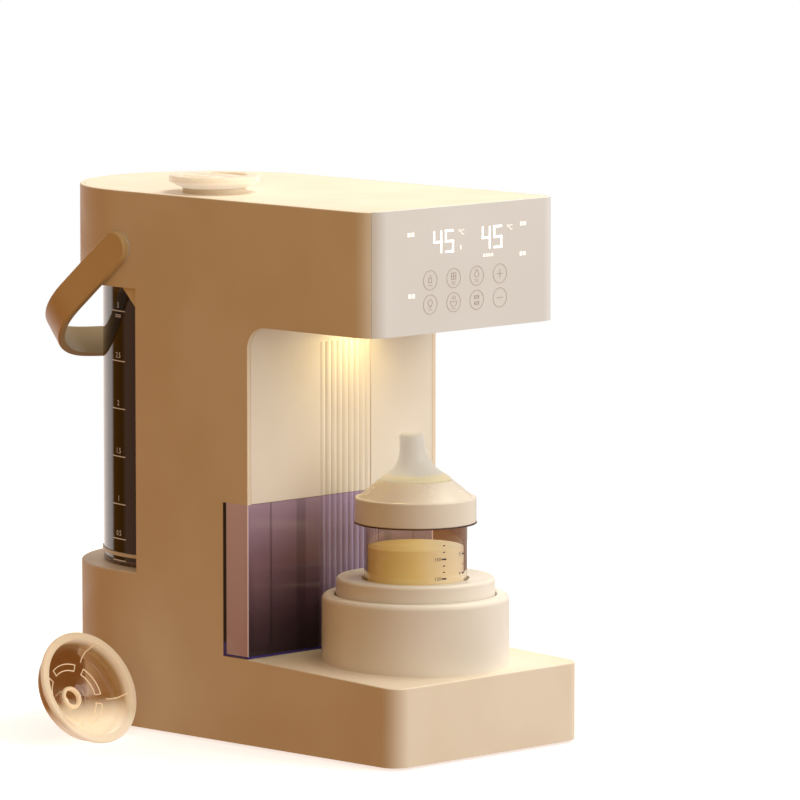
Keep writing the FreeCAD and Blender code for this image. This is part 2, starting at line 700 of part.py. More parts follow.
def flute_cutter(low, high):
    """What is cut away between the column's upright convex flutes."""
    width = FLUTE_COUNT * FLUTE_PITCH
    left = FLUTE_CENTRE_X - width / 2
    band = block((left, left + width), (COLUMN_Y - 1, COLUMN_Y + FLUTE_DEPTH), (low, high))
    half = FLUTE_PITCH / 2
    radius = (half ** 2 + FLUTE_DEPTH ** 2) / (2 * FLUTE_DEPTH)
    flutes = []
    for i in range(FLUTE_COUNT):
        x = left + (i + 0.5) * FLUTE_PITCH
        flutes.append(post(radius, low - 1, high + 1, x, COLUMN_Y + radius))
    return band.cut(flutes)


def bay_liner():
    """One bent moulding: the column's face and the underside of the head."""
    front = HEAD_FRONT_Y + PANEL_T + WALL + SEAM
    low = SMOKED_TOP_Z + SEAM
    corners = [
        (COLUMN_Y, low),
        (COLUMN_Y, HEAD_UNDER_Z, BAY_FILLET_R),
        (front, HEAD_UNDER_Z),
        (front, HEAD_UNDER_Z + LINER_T),
        (COLUMN_Y + LINER_T, HEAD_UNDER_Z + LINER_T, BAY_FILLET_R + LINER_T),
        (COLUMN_Y + LINER_T, low),
    ]
    x = INNER_HALF - SEAM
    sheet = side_prism(corners, -x, x)
    inside = plan(HEAD_FRONT_Y + PANEL_T, HEAD_CORNER_R, WALL + SEAM)
    sheet = sheet.common(prism(inside, low - 1, BODY_TOP))
    sheet = sheet.cut(flute_cutter(low - 1, HEAD_UNDER_Z - BAY_FILLET_R))
    nozzle = post(NOZZLE_R + SEAM, HEAD_UNDER_Z - 1, HEAD_UNDER_Z + OVERRUN, 0, CUP_Y)
    return sheet.cut([nozzle, lamp_block(SEAM, HEAD_UNDER_Z - 1, HEAD_UNDER_Z + OVERRUN)])


def lamp_block(grow, low, high):
    x = LAMP_LENGTH / 2 + grow
    y = LAMP_WIDTH / 2 + grow
    middle = COLUMN_Y - LAMP_FROM_COLUMN
    radius = y - LAMP_END_FLAT / 2
    corners = [
        (LAMP_X - x, middle - y, radius),
        (LAMP_X + x, middle - y, radius),
        (LAMP_X + x, middle + y, radius),
        (LAMP_X - x, middle + y, radius),
    ]
    return prism(corners, low, high)


def bay_lamp_lens():
    return lamp_block(0, HEAD_UNDER_Z - LENS_PROUD, HEAD_UNDER_Z + LINER_T)


def bay_lamp_board():
    top = HEAD_UNDER_Z + LINER_T
    return lamp_block(LAMP_BOARD_LAP, top, top + BOARD_T)


def smoked_cover():
    outer = (COLUMN_Y, SMOKED_REAR_Y - SEAM)
    z = (DECK_REAR_Z + SEAM, SMOKED_TOP_Z - SMALL)
    cover = block((-HALF, HALF), outer, z)
    x = HALF - SMOKED_T
    cover = cover.cut(block((-x, x), (COLUMN_Y + SMOKED_T, SMOKED_REAR_Y + 1), (0, BODY_TOP)))
    upright = [e for e in cover.Edges if abs(e.BoundBox.YMax - COLUMN_Y) < SMALL
               and e.BoundBox.ZLength > 1]
    cover = cover.makeFillet(EDGE_R, upright)
    return cover.cut(flute_cutter(z[0] - 1, z[1] + 1))


def tank_bay_wall():
    x = INNER_HALF - SEAM
    return block((-x, x), (PARTITION_Y, PARTITION_Y + PARTITION_T), (LEDGE_Z, WINDOW_TOP_Z))


# ---- tank, fill port, lid ----
def tank_shell():
    outer = prism(tank_plan(), TANK_FLOOR_Z, TANK_TOP_Z - TANK_CAP_T)
    inner = prism(tank_plan(-TANK_WALL), TANK_FLOOR_Z + TANK_WALL, TANK_TOP_Z)
    bore = post(OUTLET_R - OUTLET_SEAT, TANK_FLOOR_Z - 1, TANK_FLOOR_Z + TANK_WALL + 1, 0, OUTLET_Y)
    return outer.cut([inner, bore])


def tank_foot_band():
    outer = prism(tank_plan(BAND_PROUD), BAND_Z, BAND_Z + BAND_HEIGHT)
    return outer.cut(prism(tank_plan(), BAND_Z - 1, BAND_Z + BAND_HEIGHT + 1))


def tank_cap():
    low = TANK_TOP_Z - TANK_CAP_T
    lip_out = TANK_WALL + CAP_LIP_FIT
    lip = prism(tank_plan(-lip_out), low - CAP_LIP, low)
    lip = lip.cut(prism(tank_plan(-lip_out - CAP_LIP_T), low - CAP_LIP - 1, low + 1))
    plate = prism(tank_plan(), low, TANK_TOP_Z)
    bore = post(PORT_R, low - OVERRUN, TANK_TOP_Z + 1, PORT_X, PORT_Y)
    return plate.fuse(lip).cut(bore)


def chute_r():
    return PORT_R + PORT_WALL + SEAM + PORT_WALL


def fill_chute():
    """Sleeve that guides poured water from the port down into the tank."""
    outer = chute_r()
    inner = outer - PORT_WALL
    floor = TANK_TOP_Z + PORT_WALL
    return turned([
        (PORT_R, TANK_TOP_Z),
        (outer, TANK_TOP_Z),
        (outer, COVER_BOTTOM_Z - 1),
        (inner, COVER_BOTTOM_Z - 1),
        (inner, floor + 4),
        (PORT_R, floor),
    ], PORT_X, PORT_Y)


def fill_lid():
    top = BODY_TOP + LID_HEIGHT
    rim_low = top - LID_RIM_HEIGHT
    seat = BODY_TOP + COLLAR_HEIGHT + SEAM
    plug_r = PORT_R - SEAM - LID_SEAL_T / 2
    plug_low = BODY_TOP + COLLAR_HEIGHT - LID_PLUG_DEPTH
    floor = top - LID_DISH_DEPTH
    groove = LID_SEAL_T
    middle = (seat + plug_low) / 2
    body = turned([
        (0, plug_low),
        (plug_r, plug_low, LID_PLUG_EDGE_R),
        (plug_r, middle - groove / 2),
        (plug_r - LID_SEAL_T / 2, middle - groove / 2),
        (plug_r - LID_SEAL_T / 2, middle + groove / 2),
        (plug_r, middle + groove / 2),
        (plug_r, seat),
        (COLLAR_R + LID_FIT, seat),
        (LID_R, rim_low, LID_EDGE_R),
        (LID_R, top, LID_EDGE_R),
        (LID_DISH_R + LID_DISH_SLOPE, top),
        (LID_DISH_R, floor),
        (0, floor),
    ], PORT_X, PORT_Y)
    half = LID_GRIP_WIDTH / 2
    grip = block((PORT_X - half, PORT_X + half), (PORT_Y - LID_DISH_R - 1, PORT_Y + LID_DISH_R + 1),
                 (floor - SMALL, top))
    grip = grip.common(post(LID_DISH_R + 1, floor - 1, top, PORT_X, PORT_Y))
    return body.fuse(grip).removeSplitter()


def lid_seal():
    seat = BODY_TOP + COLLAR_HEIGHT + SEAM
    plug_low = BODY_TOP + COLLAR_HEIGHT - LID_PLUG_DEPTH
    middle = (seat + plug_low) / 2
    thickness = LID_SEAL_T / 2 - SEAL_PINCH
    ring = Part.makeTorus(PORT_R - SEAM - thickness, thickness)
    ring.translate(Vector(PORT_X, PORT_Y, middle))
    return ring


def outlet_low_z():
    return LEDGE_Z - WALL - OUTLET_CUP - STUB_LENGTH


def tank_outlet():
    """Drain fitting clamped up under the tank's floor, narrowing to a pipe for the hose."""
    shelf = LEDGE_Z - WALL
    low = shelf - OUTLET_CUP
    bore = PIPE_R - PIPE_WALL
    return turned([
        (bore, outlet_low_z()),
        (PIPE_R, outlet_low_z()),
        (PIPE_R, low),
        (OUTLET_R, low + 2),
        (OUTLET_R + 4, shelf - 3),
        (OUTLET_R + 4, shelf),
        (OUTLET_R, shelf),
        (OUTLET_R, TANK_FLOOR_Z),
        (OUTLET_R - 2, TANK_FLOOR_Z),
        (OUTLET_R - 2, low + 4),
        (bore, low + 2),
    ], 0, OUTLET_Y)


# ---- carry handle ----
def handle_reach():
    """Distance from the pivot to the inside of the crossbar's middle."""
    angle = math.radians(HANDLE_REST_DEG)
    lower_edge_y = TANK_BACK_Y + HANDLE_TANK_GAP
    return (lower_edge_y - PIVOT_Y + HANDLE_WIDTH / 2 * math.sin(angle)) / math.cos(angle)


def bail_outline(x, crown, bend_r, crown_r, start):
    """U with its arms at -x and x, whose bends run tangent into one flat arc across."""
    tilt = math.asin((x - bend_r) / (crown_r - bend_r))
    apex = crown - crown_r + crown_r / math.cos(tilt)
    shoulder = apex - x * math.tan(tilt)
    return [
        (-x, start),
        (x, start),
        (x, shoulder, bend_r),
        (0, apex, crown_r),
        (-x, shoulder, bend_r),
    ]


def carry_handle():
    """Flat strap bent to a U; built level to the rear along +Y, then let down to rest."""
    inner_x = HALF + HANDLE_SIDE_GAP
    outer_x = inner_x + HANDLE_T
    reach = handle_reach()
    far = reach + HANDLE_T
    start = -HANDLE_NOSE_R - 1
    outline = bail_outline(outer_x, far, HANDLE_BEND_R, HANDLE_CROWN_R, start)
    hollow = bail_outline(inner_x, reach, HANDLE_BEND_R - HANDLE_T, HANDLE_CROWN_R - HANDLE_T, start - 1)
    half = HANDLE_WIDTH / 2
    strap = prism(outline, -half, half).cut(prism(hollow, -half - 1, half + 1))
    arms = side_prism([
        (0, -HANDLE_NOSE_R),
        (far + 1, -half),
        (far + 1, half),
        (0, HANDLE_NOSE_R),
    ], -outer_x - 1, outer_x + 1)
    nose = cross_post(HANDLE_NOSE_R, -outer_x - 1, outer_x + 1, 0, 0)
    strap = strap.common(arms.fuse(nose))
    strap = softened(strap, HANDLE_EDGE_R, lambda e: strap_rim(e, outer_x, far))
    socket = cross_post(PIN_R + PIN_FIT, -inner_x - HANDLE_T / 2, inner_x + HANDLE_T / 2, 0, 0)
    strap = strap.cut(socket)
    return lowered(strap)


def strap_rim(edge, outer_x, far):
    """Edges of the strap's outer face, on the arms, the bends and the crossbar."""
    box = edge.BoundBox
    on_side = max(abs(box.XMin), abs(box.XMax)) > outer_x - SMALL
    on_crossbar = box.YMax > far - SMALL and box.XLength > HANDLE_WIDTH
    return on_side or on_crossbar


def lowered(shape):
    """From level at the origin to the handle's rest pose at its pivot."""
    shape.rotate(Vector(0, 0, 0), Vector(1, 0, 0), -HANDLE_REST_DEG)
    shape.translate(Vector(0, PIVOT_Y, PIVOT_Z))
    return shape


def mirrored_pair(shape):
    return Part.makeCompound([shape, shape.mirror(Vector(0, 0, 0), Vector(1, 0, 0))])


def pivot_pins():
    inner_end = INNER_HALF - PIVOT_BOSS_LENGTH - SEAM
    outer_end = HALF + HANDLE_SIDE_GAP + HANDLE_T / 2
    pin = cross_post(PIN_R, inner_end - 1, outer_end, PIVOT_Y, PIVOT_Z)
    head = cross_post(PIN_R + BUSH_WALL, inner_end - 3, inner_end, PIVOT_Y, PIVOT_Z)
    return mirrored_pair(pin.fuse(head).removeSplitter())


def pivot_bushes():
    inner = PIN_R + PIN_RUNNING_GAP
    start = INNER_HALF - PIVOT_BOSS_LENGTH
    end = HALF + BUSH_FLANGE_T
    sleeve = cross_post(inner + BUSH_WALL, start, end, PIVOT_Y, PIVOT_Z)
    flange = cross_post(inner + BUSH_WALL + BUSH_FLANGE, HALF, end, PIVOT_Y, PIVOT_Z)
    bore = cross_post(inner, start - 1, end + 1, PIVOT_Y, PIVOT_Z)
    return mirrored_pair(sleeve.fuse(flange).removeSplitter().cut(bore))


# ---- warmer ----
def cup_boss_places():
    places = []
    for i in range(CUP_BOSS_COUNT):
        angle = math.radians(90 + 360 * i / CUP_BOSS_COUNT)
        places.append((CUP_BOSS_RADIUS * math.cos(angle), CUP_Y + CUP_BOSS_RADIUS * math.sin(angle)))
    return places


def above_deck(shape):
    """Trim a shape to the sloping deck it stands on."""
    ahead = FRONT_Y - OVERRUN
    behind = COLUMN_Y + OVERRUN
    under = side_prism([
        (ahead, deck_z(ahead)),
        (behind, deck_z(behind)),
        (behind, -OVERRUN),
        (ahead, -OVERRUN),
    ], -HALF, HALF)
    return shape.cut(under)


def warmer_cup():
    low = DECK_FRONT_Z - OVERRUN
    inner = CUP_R - CUP_WALL
    seat_r = CUP_MOUTH_R - RING_SEAT_WIDTH
    wall = turned([
        (CUP_R, low),
        (CUP_R, CUP_TOP_Z, CUP_RIM_R),
        (CUP_MOUTH_R, CUP_TOP_Z, 1.0),
        (CUP_MOUTH_R, RING_SEAT_Z),
        (seat_r, RING_SEAT_Z),
        (seat_r, RING_SEAT_Z - 2),
        (inner, RING_SEAT_Z - 2 - (inner - seat_r)),
        (inner, WELL_Z),
        (0, WELL_Z),
        (0, WELL_Z - CUP_FLOOR_T),
        (inner, WELL_Z - CUP_FLOOR_T),
        (inner, low),
    ], 0, CUP_Y)
    bosses = [post(BOSS_R, low, WELL_Z - CUP_FLOOR_T, x, y) for x, y in cup_boss_places()]
    cup = above_deck(wall.fuse(bosses))
    stop = WELL_Z - CUP_FLOOR_T - CUP_SCREW_STOP
    holes = [post(SCREW_R + SCREW_FIT, low, stop, x, y) for x, y in cup_boss_places()]
    holes.append(post(SENSOR_R + SEAM, WELL_Z - CUP_FLOOR_T - 1, WELL_Z + 1, 0, CUP_Y))
    return cup.cut(holes)


def cup_screws():
    screws = []
    for x, y in cup_boss_places():
        low = deck_z(y) - WALL - CUP_SCREW_GAP
        tip = WELL_Z - CUP_FLOOR_T - CUP_SCREW_STOP - CUP_SCREW_GAP
        head = post(SCREW_HEAD_R, low - CUP_SCREW_HEAD_T, low, x, y)
        shank = post(SCREW_R, low - 1, tip, x, y)
        screws.append(head.fuse(shank).removeSplitter())
    return Part.makeCompound(screws)


def heating_plate():
    plate = turned([
        (SENSOR_R + SENSOR_FIT, WELL_Z),
        (PLATE_R, WELL_Z),
        (PLATE_R, HOTPLATE_Z, 1.0),
        (SENSOR_R + SENSOR_FIT, HOTPLATE_Z),
    ], 0, CUP_Y)
    return plate


def heating_film():
    top = WELL_Z - CUP_FLOOR_T
    return tube(FILM_R, SENSOR_R + FILM_BORE_GAP, top - FILM_T, top, 0, CUP_Y)


def temperature_sensor():
    under = WELL_Z - CUP_FLOOR_T
    stem = post(SENSOR_R, under - SENSOR_TAIL, HOTPLATE_Z - SENSOR_FIT, 0, CUP_Y)
    flange = post(SENSOR_R + SENSOR_FLANGE, under - SENSOR_FLANGE_T, under, 0, CUP_Y)
    return stem.fuse(flange).removeSplitter()


def bottle_ring():
    """Lift-out ring that centres the bottle in the well and closes the gap round it."""
    low = RING_SEAT_Z + SEAM
    inner = RING_R - RING_WALL
    return turned([
        (RING_BORE_R, RING_TOP_Z - RING_DIP),
        (RING_R - RING_SLOPE_WIDTH, RING_TOP_Z),
        (RING_R, RING_TOP_Z, RING_EDGE_R),
        (RING_R, low),
        (inner, low),
        (inner, RING_TOP_Z - RING_WALL - 1),
        (RING_BORE_R + RING_WALL, RING_TOP_Z - RING_WALL - 1 - RING_DIP),
        (RING_BORE_R + RING_WALL, RING_TOP_Z - RING_SLEEVE),
        (RING_BORE_R, RING_TOP_Z - RING_SLEEVE),
    ], 0, CUP_Y)


# ---- bottle ----
def bottle_glass():
    top = BOTTLE_Z + BOTTLE_HEIGHT
    inner = BOTTLE_R - GLASS_T
    return turned([
        (0, BOTTLE_Z),
        (BOTTLE_R, BOTTLE_Z, BOTTLE_HEEL_R),
        (BOTTLE_R, top),
        (inner, top),
        (inner, BOTTLE_Z + GLASS_T, BOTTLE_HEEL_R - GLASS_T),
        (0, BOTTLE_Z + GLASS_T),
    ], 0, CUP_Y)


def bottle_milk():
    radius = BOTTLE_R - GLASS_T - MILK_GAP
    low = BOTTLE_Z + GLASS_T + MILK_GAP
    return turned([
        (0, low),
        (radius, low, BOTTLE_HEEL_R - GLASS_T),
        (radius, BOTTLE_Z + MILK_HEIGHT),
        (0, BOTTLE_Z + MILK_HEIGHT),
    ], 0, CUP_Y)


def bottle_collar():
    inner = BOTTLE_R + SEAM
    band_top = COLLAR_Z + COLLAR_BAND_HEIGHT
    top = band_top + COLLAR_CONE_HEIGHT
    mouth = COLLAR_MOUTH_R - COLLAR_LIP_T
    shelf = BOTTLE_Z + BOTTLE_HEIGHT + TEAT_T + SEAM
    return turned([
        (inner, COLLAR_Z),
        (COLLAR_BAND_R, COLLAR_Z, COLLAR_FOOT_R),
        (COLLAR_BAND_R, band_top, COLLAR_SHOULDER_R),
        (COLLAR_CONE_R, band_top),
        (COLLAR_MOUTH_R, top, COLLAR_LIP_R),
        (mouth, top),
        (mouth, top - COLLAR_LIP_DEPTH),
        (inner - 2, shelf),
        (inner, shelf),
    ], 0, CUP_Y)


def bottle_teat():
    """Wide silicone teat: a flange under the collar, a flared foot and a round-ended tip."""
    flange_low = BOTTLE_Z + BOTTLE_HEIGHT
    foot = COLLAR_Z + COLLAR_BAND_HEIGHT + COLLAR_CONE_HEIGHT
    top = foot + TEAT_HEIGHT
    neck = COLLAR_MOUTH_R - COLLAR_LIP_T - TEAT_NECK_GAP
    flare = foot + TEAT_FLARE_SHARE * TEAT_HEIGHT
    outer = [
        (BOTTLE_R - TEAT_FLANGE_INSET, flange_low),
        (BOTTLE_R - TEAT_FLANGE_INSET, flange_low + TEAT_T),
        (BOTTLE_R - TEAT_FLANGE, flange_low + TEAT_T),
        (neck, flange_low + TEAT_T + 4),
        (neck, foot + SEAM),
        (COLLAR_MOUTH_R - TEAT_FOOT_INSET, foot + SEAM),
        (TEAT_TIP_R + TEAT_STEM_SPREAD, flare, TEAT_FLARE_R),
        (TEAT_TIP_R - TEAT_WAIST_INSET, top - TEAT_TIP_LENGTH, TEAT_WAIST_R),
        (TEAT_TIP_R, top, TEAT_TIP_EDGE_R),
    ]
    inner = [
        (0, top),
        (0, top - TEAT_T),
        (TEAT_TIP_R - TEAT_T, top - TEAT_T, 2.0),
        (TEAT_TIP_R - TEAT_T, flare - 1, TEAT_INNER_FLARE_R),
        (neck - TEAT_T, foot - 1),
        (neck - TEAT_T, flange_low + 4),
        (BOTTLE_R - TEAT_MOUTH_INSET, flange_low),
    ]
    return turned(outer + inner, 0, CUP_Y)


# ---- funnel ----
def lean_on_rim_and_bowl(outline):
    """Lean at which the funnel's rim and its bowl both touch what it lies on, in degrees."""
    rim = [p for p in outline if p.z > -FUNNEL_RIM_T]
    bowl = [p for p in outline if -FUNNEL_DEPTH < p.z <= -FUNNEL_RIM_T]

    def unevenness(lean):
        angle = math.radians(lean)
        reach = [max(p.x * math.cos(angle) - p.z * math.sin(angle) for p in side)
                 for side in (rim, bowl)]
        return abs(reach[0] - reach[1])

    tries = [i / LEAN_STEPS for i in range(LEAN_LOW * LEAN_STEPS, LEAN_HIGH * LEAN_STEPS)]
    return min(tries, key=unevenness)


def milk_funnel():
    """Shallow funnel with a rolled rim, lying on its side with its mouth to the front."""
    wall = FUNNEL_WALL
    rim_in = FUNNEL_R - FUNNEL_RIM
    hole = FUNNEL_HOLE_R
    throat = hole + FUNNEL_THROAT_WIDTH
    throat_z = -FUNNEL_DEPTH + FUNNEL_THROAT_RISE
    spout_low = -FUNNEL_DEPTH - FUNNEL_SPOUT
    inside = [
        (rim_in, 0, FUNNEL_INNER_EDGE_R),
        (FUNNEL_HEEL_R - wall, -FUNNEL_HEEL_DEPTH, FUNNEL_HEEL_BEND),
        (throat, throat_z, FUNNEL_THROAT_R),
        (hole, -FUNNEL_DEPTH, 1),
        (hole, spout_low),
    ]
    outside = [
        (hole + wall, spout_low),
        (hole + wall, -FUNNEL_DEPTH - wall),
        (throat, throat_z - wall, FUNNEL_THROAT_R - wall),
        (FUNNEL_HEEL_R, -FUNNEL_HEEL_DEPTH, FUNNEL_HEEL_BEND),
        (rim_in + wall, -FUNNEL_RIM_T),
        (FUNNEL_R, -FUNNEL_RIM_T, FUNNEL_BACK_EDGE_R),
        (FUNNEL_R, 0, FUNNEL_FRONT_EDGE_R),
    ]
    outline = rounded_wire(inside + outside, on_section).discretize(OUTLINE_POINTS)
    funnel = turned(inside + outside)
    lean = lean_on_rim_and_bowl(outline)
    funnel.rotate(Vector(0, 0, 0), Vector(1, 0, 0), 90 - lean)
    low = funnel.optimalBoundingBox(False).ZMin
    funnel.translate(Vector(FUNNEL_X, FUNNEL_Y, -low))
    return funnel


# ---- water path ----
def pump_low():
    return PLATE_TOP_Z + POWER_POST


def pump_post_places():
    reach = PUMP_R - POST_INSET
    return [(PUMP_X + i * reach, OUTLET_Y + j * reach) for i in (-1, 1) for j in (-1, 1)]


def pump_port_z():
    return pump_low() + PUMP_HEIGHT / 2


def pump_side_port():
    """Where the side port's pipe ends."""
    return Vector(PUMP_X - PUMP_R - STUB_LENGTH, OUTLET_Y, pump_port_z())


def pump_front_port():
    return Vector(PUMP_X, OUTLET_Y - PUMP_R - STUB_LENGTH, pump_port_z())


def pump_housing():
    low = pump_low()
    high = low + PUMP_HEIGHT
    flange_r = PUMP_R + 2
    corners = [
        (0, low),
        (flange_r, low),
        (flange_r, low + 2),
        (PUMP_R, low + 2),
        (PUMP_R, high),
        (SHAFT_R + 1, high),
        (SHAFT_R + 1, high - PUMP_WALL),
        (PUMP_R - PUMP_WALL, high - PUMP_WALL),
        (PUMP_R - PUMP_WALL, low + PUMP_WALL),
        (0, low + PUMP_WALL),
    ]
    body = turned(corners, PUMP_X, OUTLET_Y)
    reach = STUB_LENGTH + 2 * PUMP_WALL
    side, side_bore = stub(pump_side_port(), Vector(1, 0, 0), reach)
    front, front_bore = stub(pump_front_port(), Vector(0, 1, 0), reach)
    chamber = post(PUMP_R - PUMP_WALL, low + PUMP_WALL, high - PUMP_WALL, PUMP_X, OUTLET_Y)
    ports = side.fuse(front).cut(chamber)
    return body.fuse(ports).cut([side_bore, front_bore]).removeSplitter()


def pump_motor():
    low = pump_low() + PUMP_HEIGHT
    body = post(MOTOR_R, low, low + MOTOR_HEIGHT, PUMP_X, OUTLET_Y)
    cap = post(MOTOR_R - 4, low + MOTOR_HEIGHT, low + MOTOR_HEIGHT + 3, PUMP_X, OUTLET_Y)
    bore = post(SHAFT_R + SHAFT_GAP, low - 1, low + MOTOR_HEIGHT - 3, PUMP_X, OUTLET_Y)
    return body.fuse(cap).cut(bore).removeSplitter()


def pump_rotor():
    low = pump_low() + PUMP_WALL + 1
    top = pump_low() + PUMP_HEIGHT + MOTOR_HEIGHT - 4
    shaft = post(SHAFT_R, low, top, PUMP_X, OUTLET_Y)
    disc = post(IMPELLER_R, low, low + IMPELLER_T, PUMP_X, OUTLET_Y)
    blades = []
    blade_top = pump_low() + PUMP_HEIGHT - PUMP_WALL - 1
    for i in range(BLADE_COUNT):
        blade = block((PUMP_X + SHAFT_R - 0.5, PUMP_X + IMPELLER_R),
                      (OUTLET_Y - BLADE_T / 2, OUTLET_Y + BLADE_T / 2), (low, blade_top))
        blade.rotate(Vector(PUMP_X, OUTLET_Y, 0), Vector(0, 0, 1), 360 * i / BLADE_COUNT)
        blades.append(blade)
    return joined([shaft, disc] + blades)


def inlet_hose():
    """From the tank's outlet down and across to the pump's side port."""
    top = Vector(0, OUTLET_Y, outlet_low_z() + HOSE_GRIP)
    corner = Vector(0, OUTLET_Y, pump_port_z())
    return hose([top, corner, pump_side_port() + Vector(HOSE_GRIP, 0, 0)])


def heater_low_z():
    return HEATER_BOTTOM_Z - STUB_LENGTH


def heater_high_z():
    return HEATER_BOTTOM_Z + HEATER_LENGTH + STUB_LENGTH


def heater_tube():
    high = HEATER_BOTTOM_Z + HEATER_LENGTH
    body = turned([
        (0, HEATER_BOTTOM_Z),
        (HEATER_R, HEATER_BOTTOM_Z, 2),
        (HEATER_R, high, 2),
        (0, high),
    ], HEATER_X, HEATER_Y)
    low_end = Vector(HEATER_X, HEATER_Y, heater_low_z())
    pipe, bore = stub(low_end, Vector(0, 0, 1), heater_high_z() - heater_low_z())
    return body.fuse(pipe).cut(bore).removeSplitter()


def heater_bracket():
    """Two saddles that carry the heater on the wall in front of the tank."""
    saddles = []
    reach = HEATER_R + SADDLE_MARGIN
    for z in (HEATER_BOTTOM_Z + LOW_SADDLE, HEATER_BOTTOM_Z + HEATER_LENGTH - HIGH_SADDLE):
        top = z + SADDLE_HEIGHT
        saddle = block((HEATER_X - reach, HEATER_X + reach), (HEATER_Y, PARTITION_Y), (z, top))
        saddles.append(saddle.cut(post(HEATER_R, z - 1, top + 1, HEATER_X, HEATER_Y)))
    return Part.makeCompound(saddles)


def feed_hose():
    """From the pump's front port forwards and up the column to the heater."""
    port = pump_front_port()
    points = [
        port + Vector(0, HOSE_GRIP, 0),
        Vector(PUMP_X, HEATER_Y, port.z),
        Vector(HEATER_X, HEATER_Y, port.z),
        Vector(HEATER_X, HEATER_Y, heater_low_z() + HOSE_GRIP),
    ]
    return hose(points)


def nozzle_top_z():
    return HEAD_UNDER_Z + LINER_T + NOZZLE_SHOULDER + STUB_LENGTH


def outlet_hose():
    """From the heater up over the bay to the nozzle."""
    level = nozzle_top_z() + HOSE_BEND_R + 3
    points = [
        Vector(HEATER_X, HEATER_Y, heater_high_z() - HOSE_GRIP),
        Vector(HEATER_X, HEATER_Y, level),
        Vector(0, CUP_Y, level),
        Vector(0, CUP_Y, nozzle_top_z() - HOSE_GRIP),
    ]
    return hose(points)


def outlet_nozzle():
    low = HEAD_UNDER_Z - NOZZLE_DROP
    top = nozzle_top_z()
    flange = HEAD_UNDER_Z + LINER_T
    return turned([
        (NOZZLE_BORE_R, low),
        (NOZZLE_MOUTH_R, low, 1),
        (NOZZLE_R, HEAD_UNDER_Z),
        (NOZZLE_R, flange),
        (NOZZLE_R + NOZZLE_FLANGE, flange),
        (NOZZLE_R + NOZZLE_FLANGE, flange + NOZZLE_FLANGE_T),
        (PIPE_R, flange + NOZZLE_SHOULDER),
        (PIPE_R, top),
        (NOZZLE_BORE_R, top),
    ], 0, CUP_Y)


# ---- electric parts ----
def board_front_y():
    return HEAD_FRONT_Y + PANEL_T + WALL


def control_board():
    x = HALF - PANEL_WINDOW_MARGIN + 3
    y = board_front_y()
    z = (HEAD_UNDER_Z + BOARD_MARGIN, COVER_BOTTOM_Z - BOARD_MARGIN)
    board = block((-x, x), (y, y + BOARD_T), z)
    back = y + BOARD_T
    chip_x = (-CHIP_LENGTH / 2, CHIP_LENGTH / 2)
    chip_z = (TOUCH_Z - CHIP_HEIGHT / 2, TOUCH_Z + CHIP_HEIGHT / 2)
    chip = block(chip_x, (back - SMALL, back + CHIP_T), chip_z)
    plug_x = (PLUG_X - PLUG_LENGTH / 2, PLUG_X + PLUG_LENGTH / 2)
    plug = block(plug_x, (back - SMALL, back + PLUG_DEPTH), (TOUCH_Z - PLUG_HEIGHT, TOUCH_Z))
    return board.fuse([chip, plug]).removeSplitter()


def display_module():
    y = (HEAD_FRONT_Y + PANEL_T, board_front_y())
    z = (DISPLAY_Z - DISPLAY_HEIGHT / 2, DISPLAY_Z + DISPLAY_HEIGHT / 2)
    return block((-DISPLAY_WIDTH / 2, DISPLAY_WIDTH / 2), y, z)


def touch_places():
    places = []
    for row in (-0.5, 0.5):
        for i in range(TOUCH_COLUMNS):
            across = (i - (TOUCH_COLUMNS - 1) / 2) * TOUCH_PITCH_X
            places.append((TOUCH_X + across, TOUCH_Z + row * TOUCH_PITCH_Z))
    return places


def touch_springs():
    springs = []
    depth = board_front_y() - HEAD_FRONT_Y - PANEL_T
    for x, z in touch_places():
        start = Vector(x, HEAD_FRONT_Y + PANEL_T, z)
        outer = Part.makeCylinder(TOUCH_R, depth, start, Vector(0, 1, 0))
        inner = Part.makeCylinder(TOUCH_R - TOUCH_SPRING_T, depth, start, Vector(0, 1, 0))
        springs.append(outer.cut(inner))
    return Part.makeCompound(springs)


def power_board_middle():
    x = -INNER_HALF + POWER_BOARD_INSET + POWER_BOARD_LENGTH / 2
    return (x, (TANK_FRONT_Y + BACK_Y) / 2 - POWER_BOARD_AHEAD)


def power_post_places():
    x, y = power_board_middle()
    half_x = POWER_BOARD_LENGTH / 2 - POST_INSET
    half_y = POWER_BOARD_WIDTH / 2 - POST_INSET
    return [(x + i * half_x, y + j * half_y) for i in (-1, 1) for j in (-1, 1)]


def power_board():
    x, y = power_board_middle()
    low = PLATE_TOP_Z + POWER_POST
    top = low + BOARD_T
    half_x = POWER_BOARD_LENGTH / 2
    half_y = POWER_BOARD_WIDTH / 2
    board = block((x - half_x, x + half_x), (y - half_y, y + half_y), (low, top))
    coil_x = (x - TRANSFORMER_LENGTH / 2, x + TRANSFORMER_LENGTH / 2)
    coil_y = (y - TRANSFORMER_WIDTH / 2, y + TRANSFORMER_WIDTH / 2)
    transformer = block(coil_x, coil_y, (top - SMALL, top + TRANSFORMER_HEIGHT))
    left = x - half_x + BOARD_PART_INSET
    right = x + half_x - BOARD_PART_INSET
    front = y - half_y + BOARD_PART_INSET
    can_x = left + CAPACITOR_R
    can_y = front + CAPACITOR_R
    capacitor = post(CAPACITOR_R, top - SMALL, top + CAPACITOR_HEIGHT, can_x, can_y)
    relay_y = (front, front + RELAY_SIZE)
    relay = block((right - RELAY_SIZE, right), relay_y, (top - SMALL, top + RELAY_HEIGHT))
    return board.fuse([transformer, capacitor, relay]).removeSplitter()


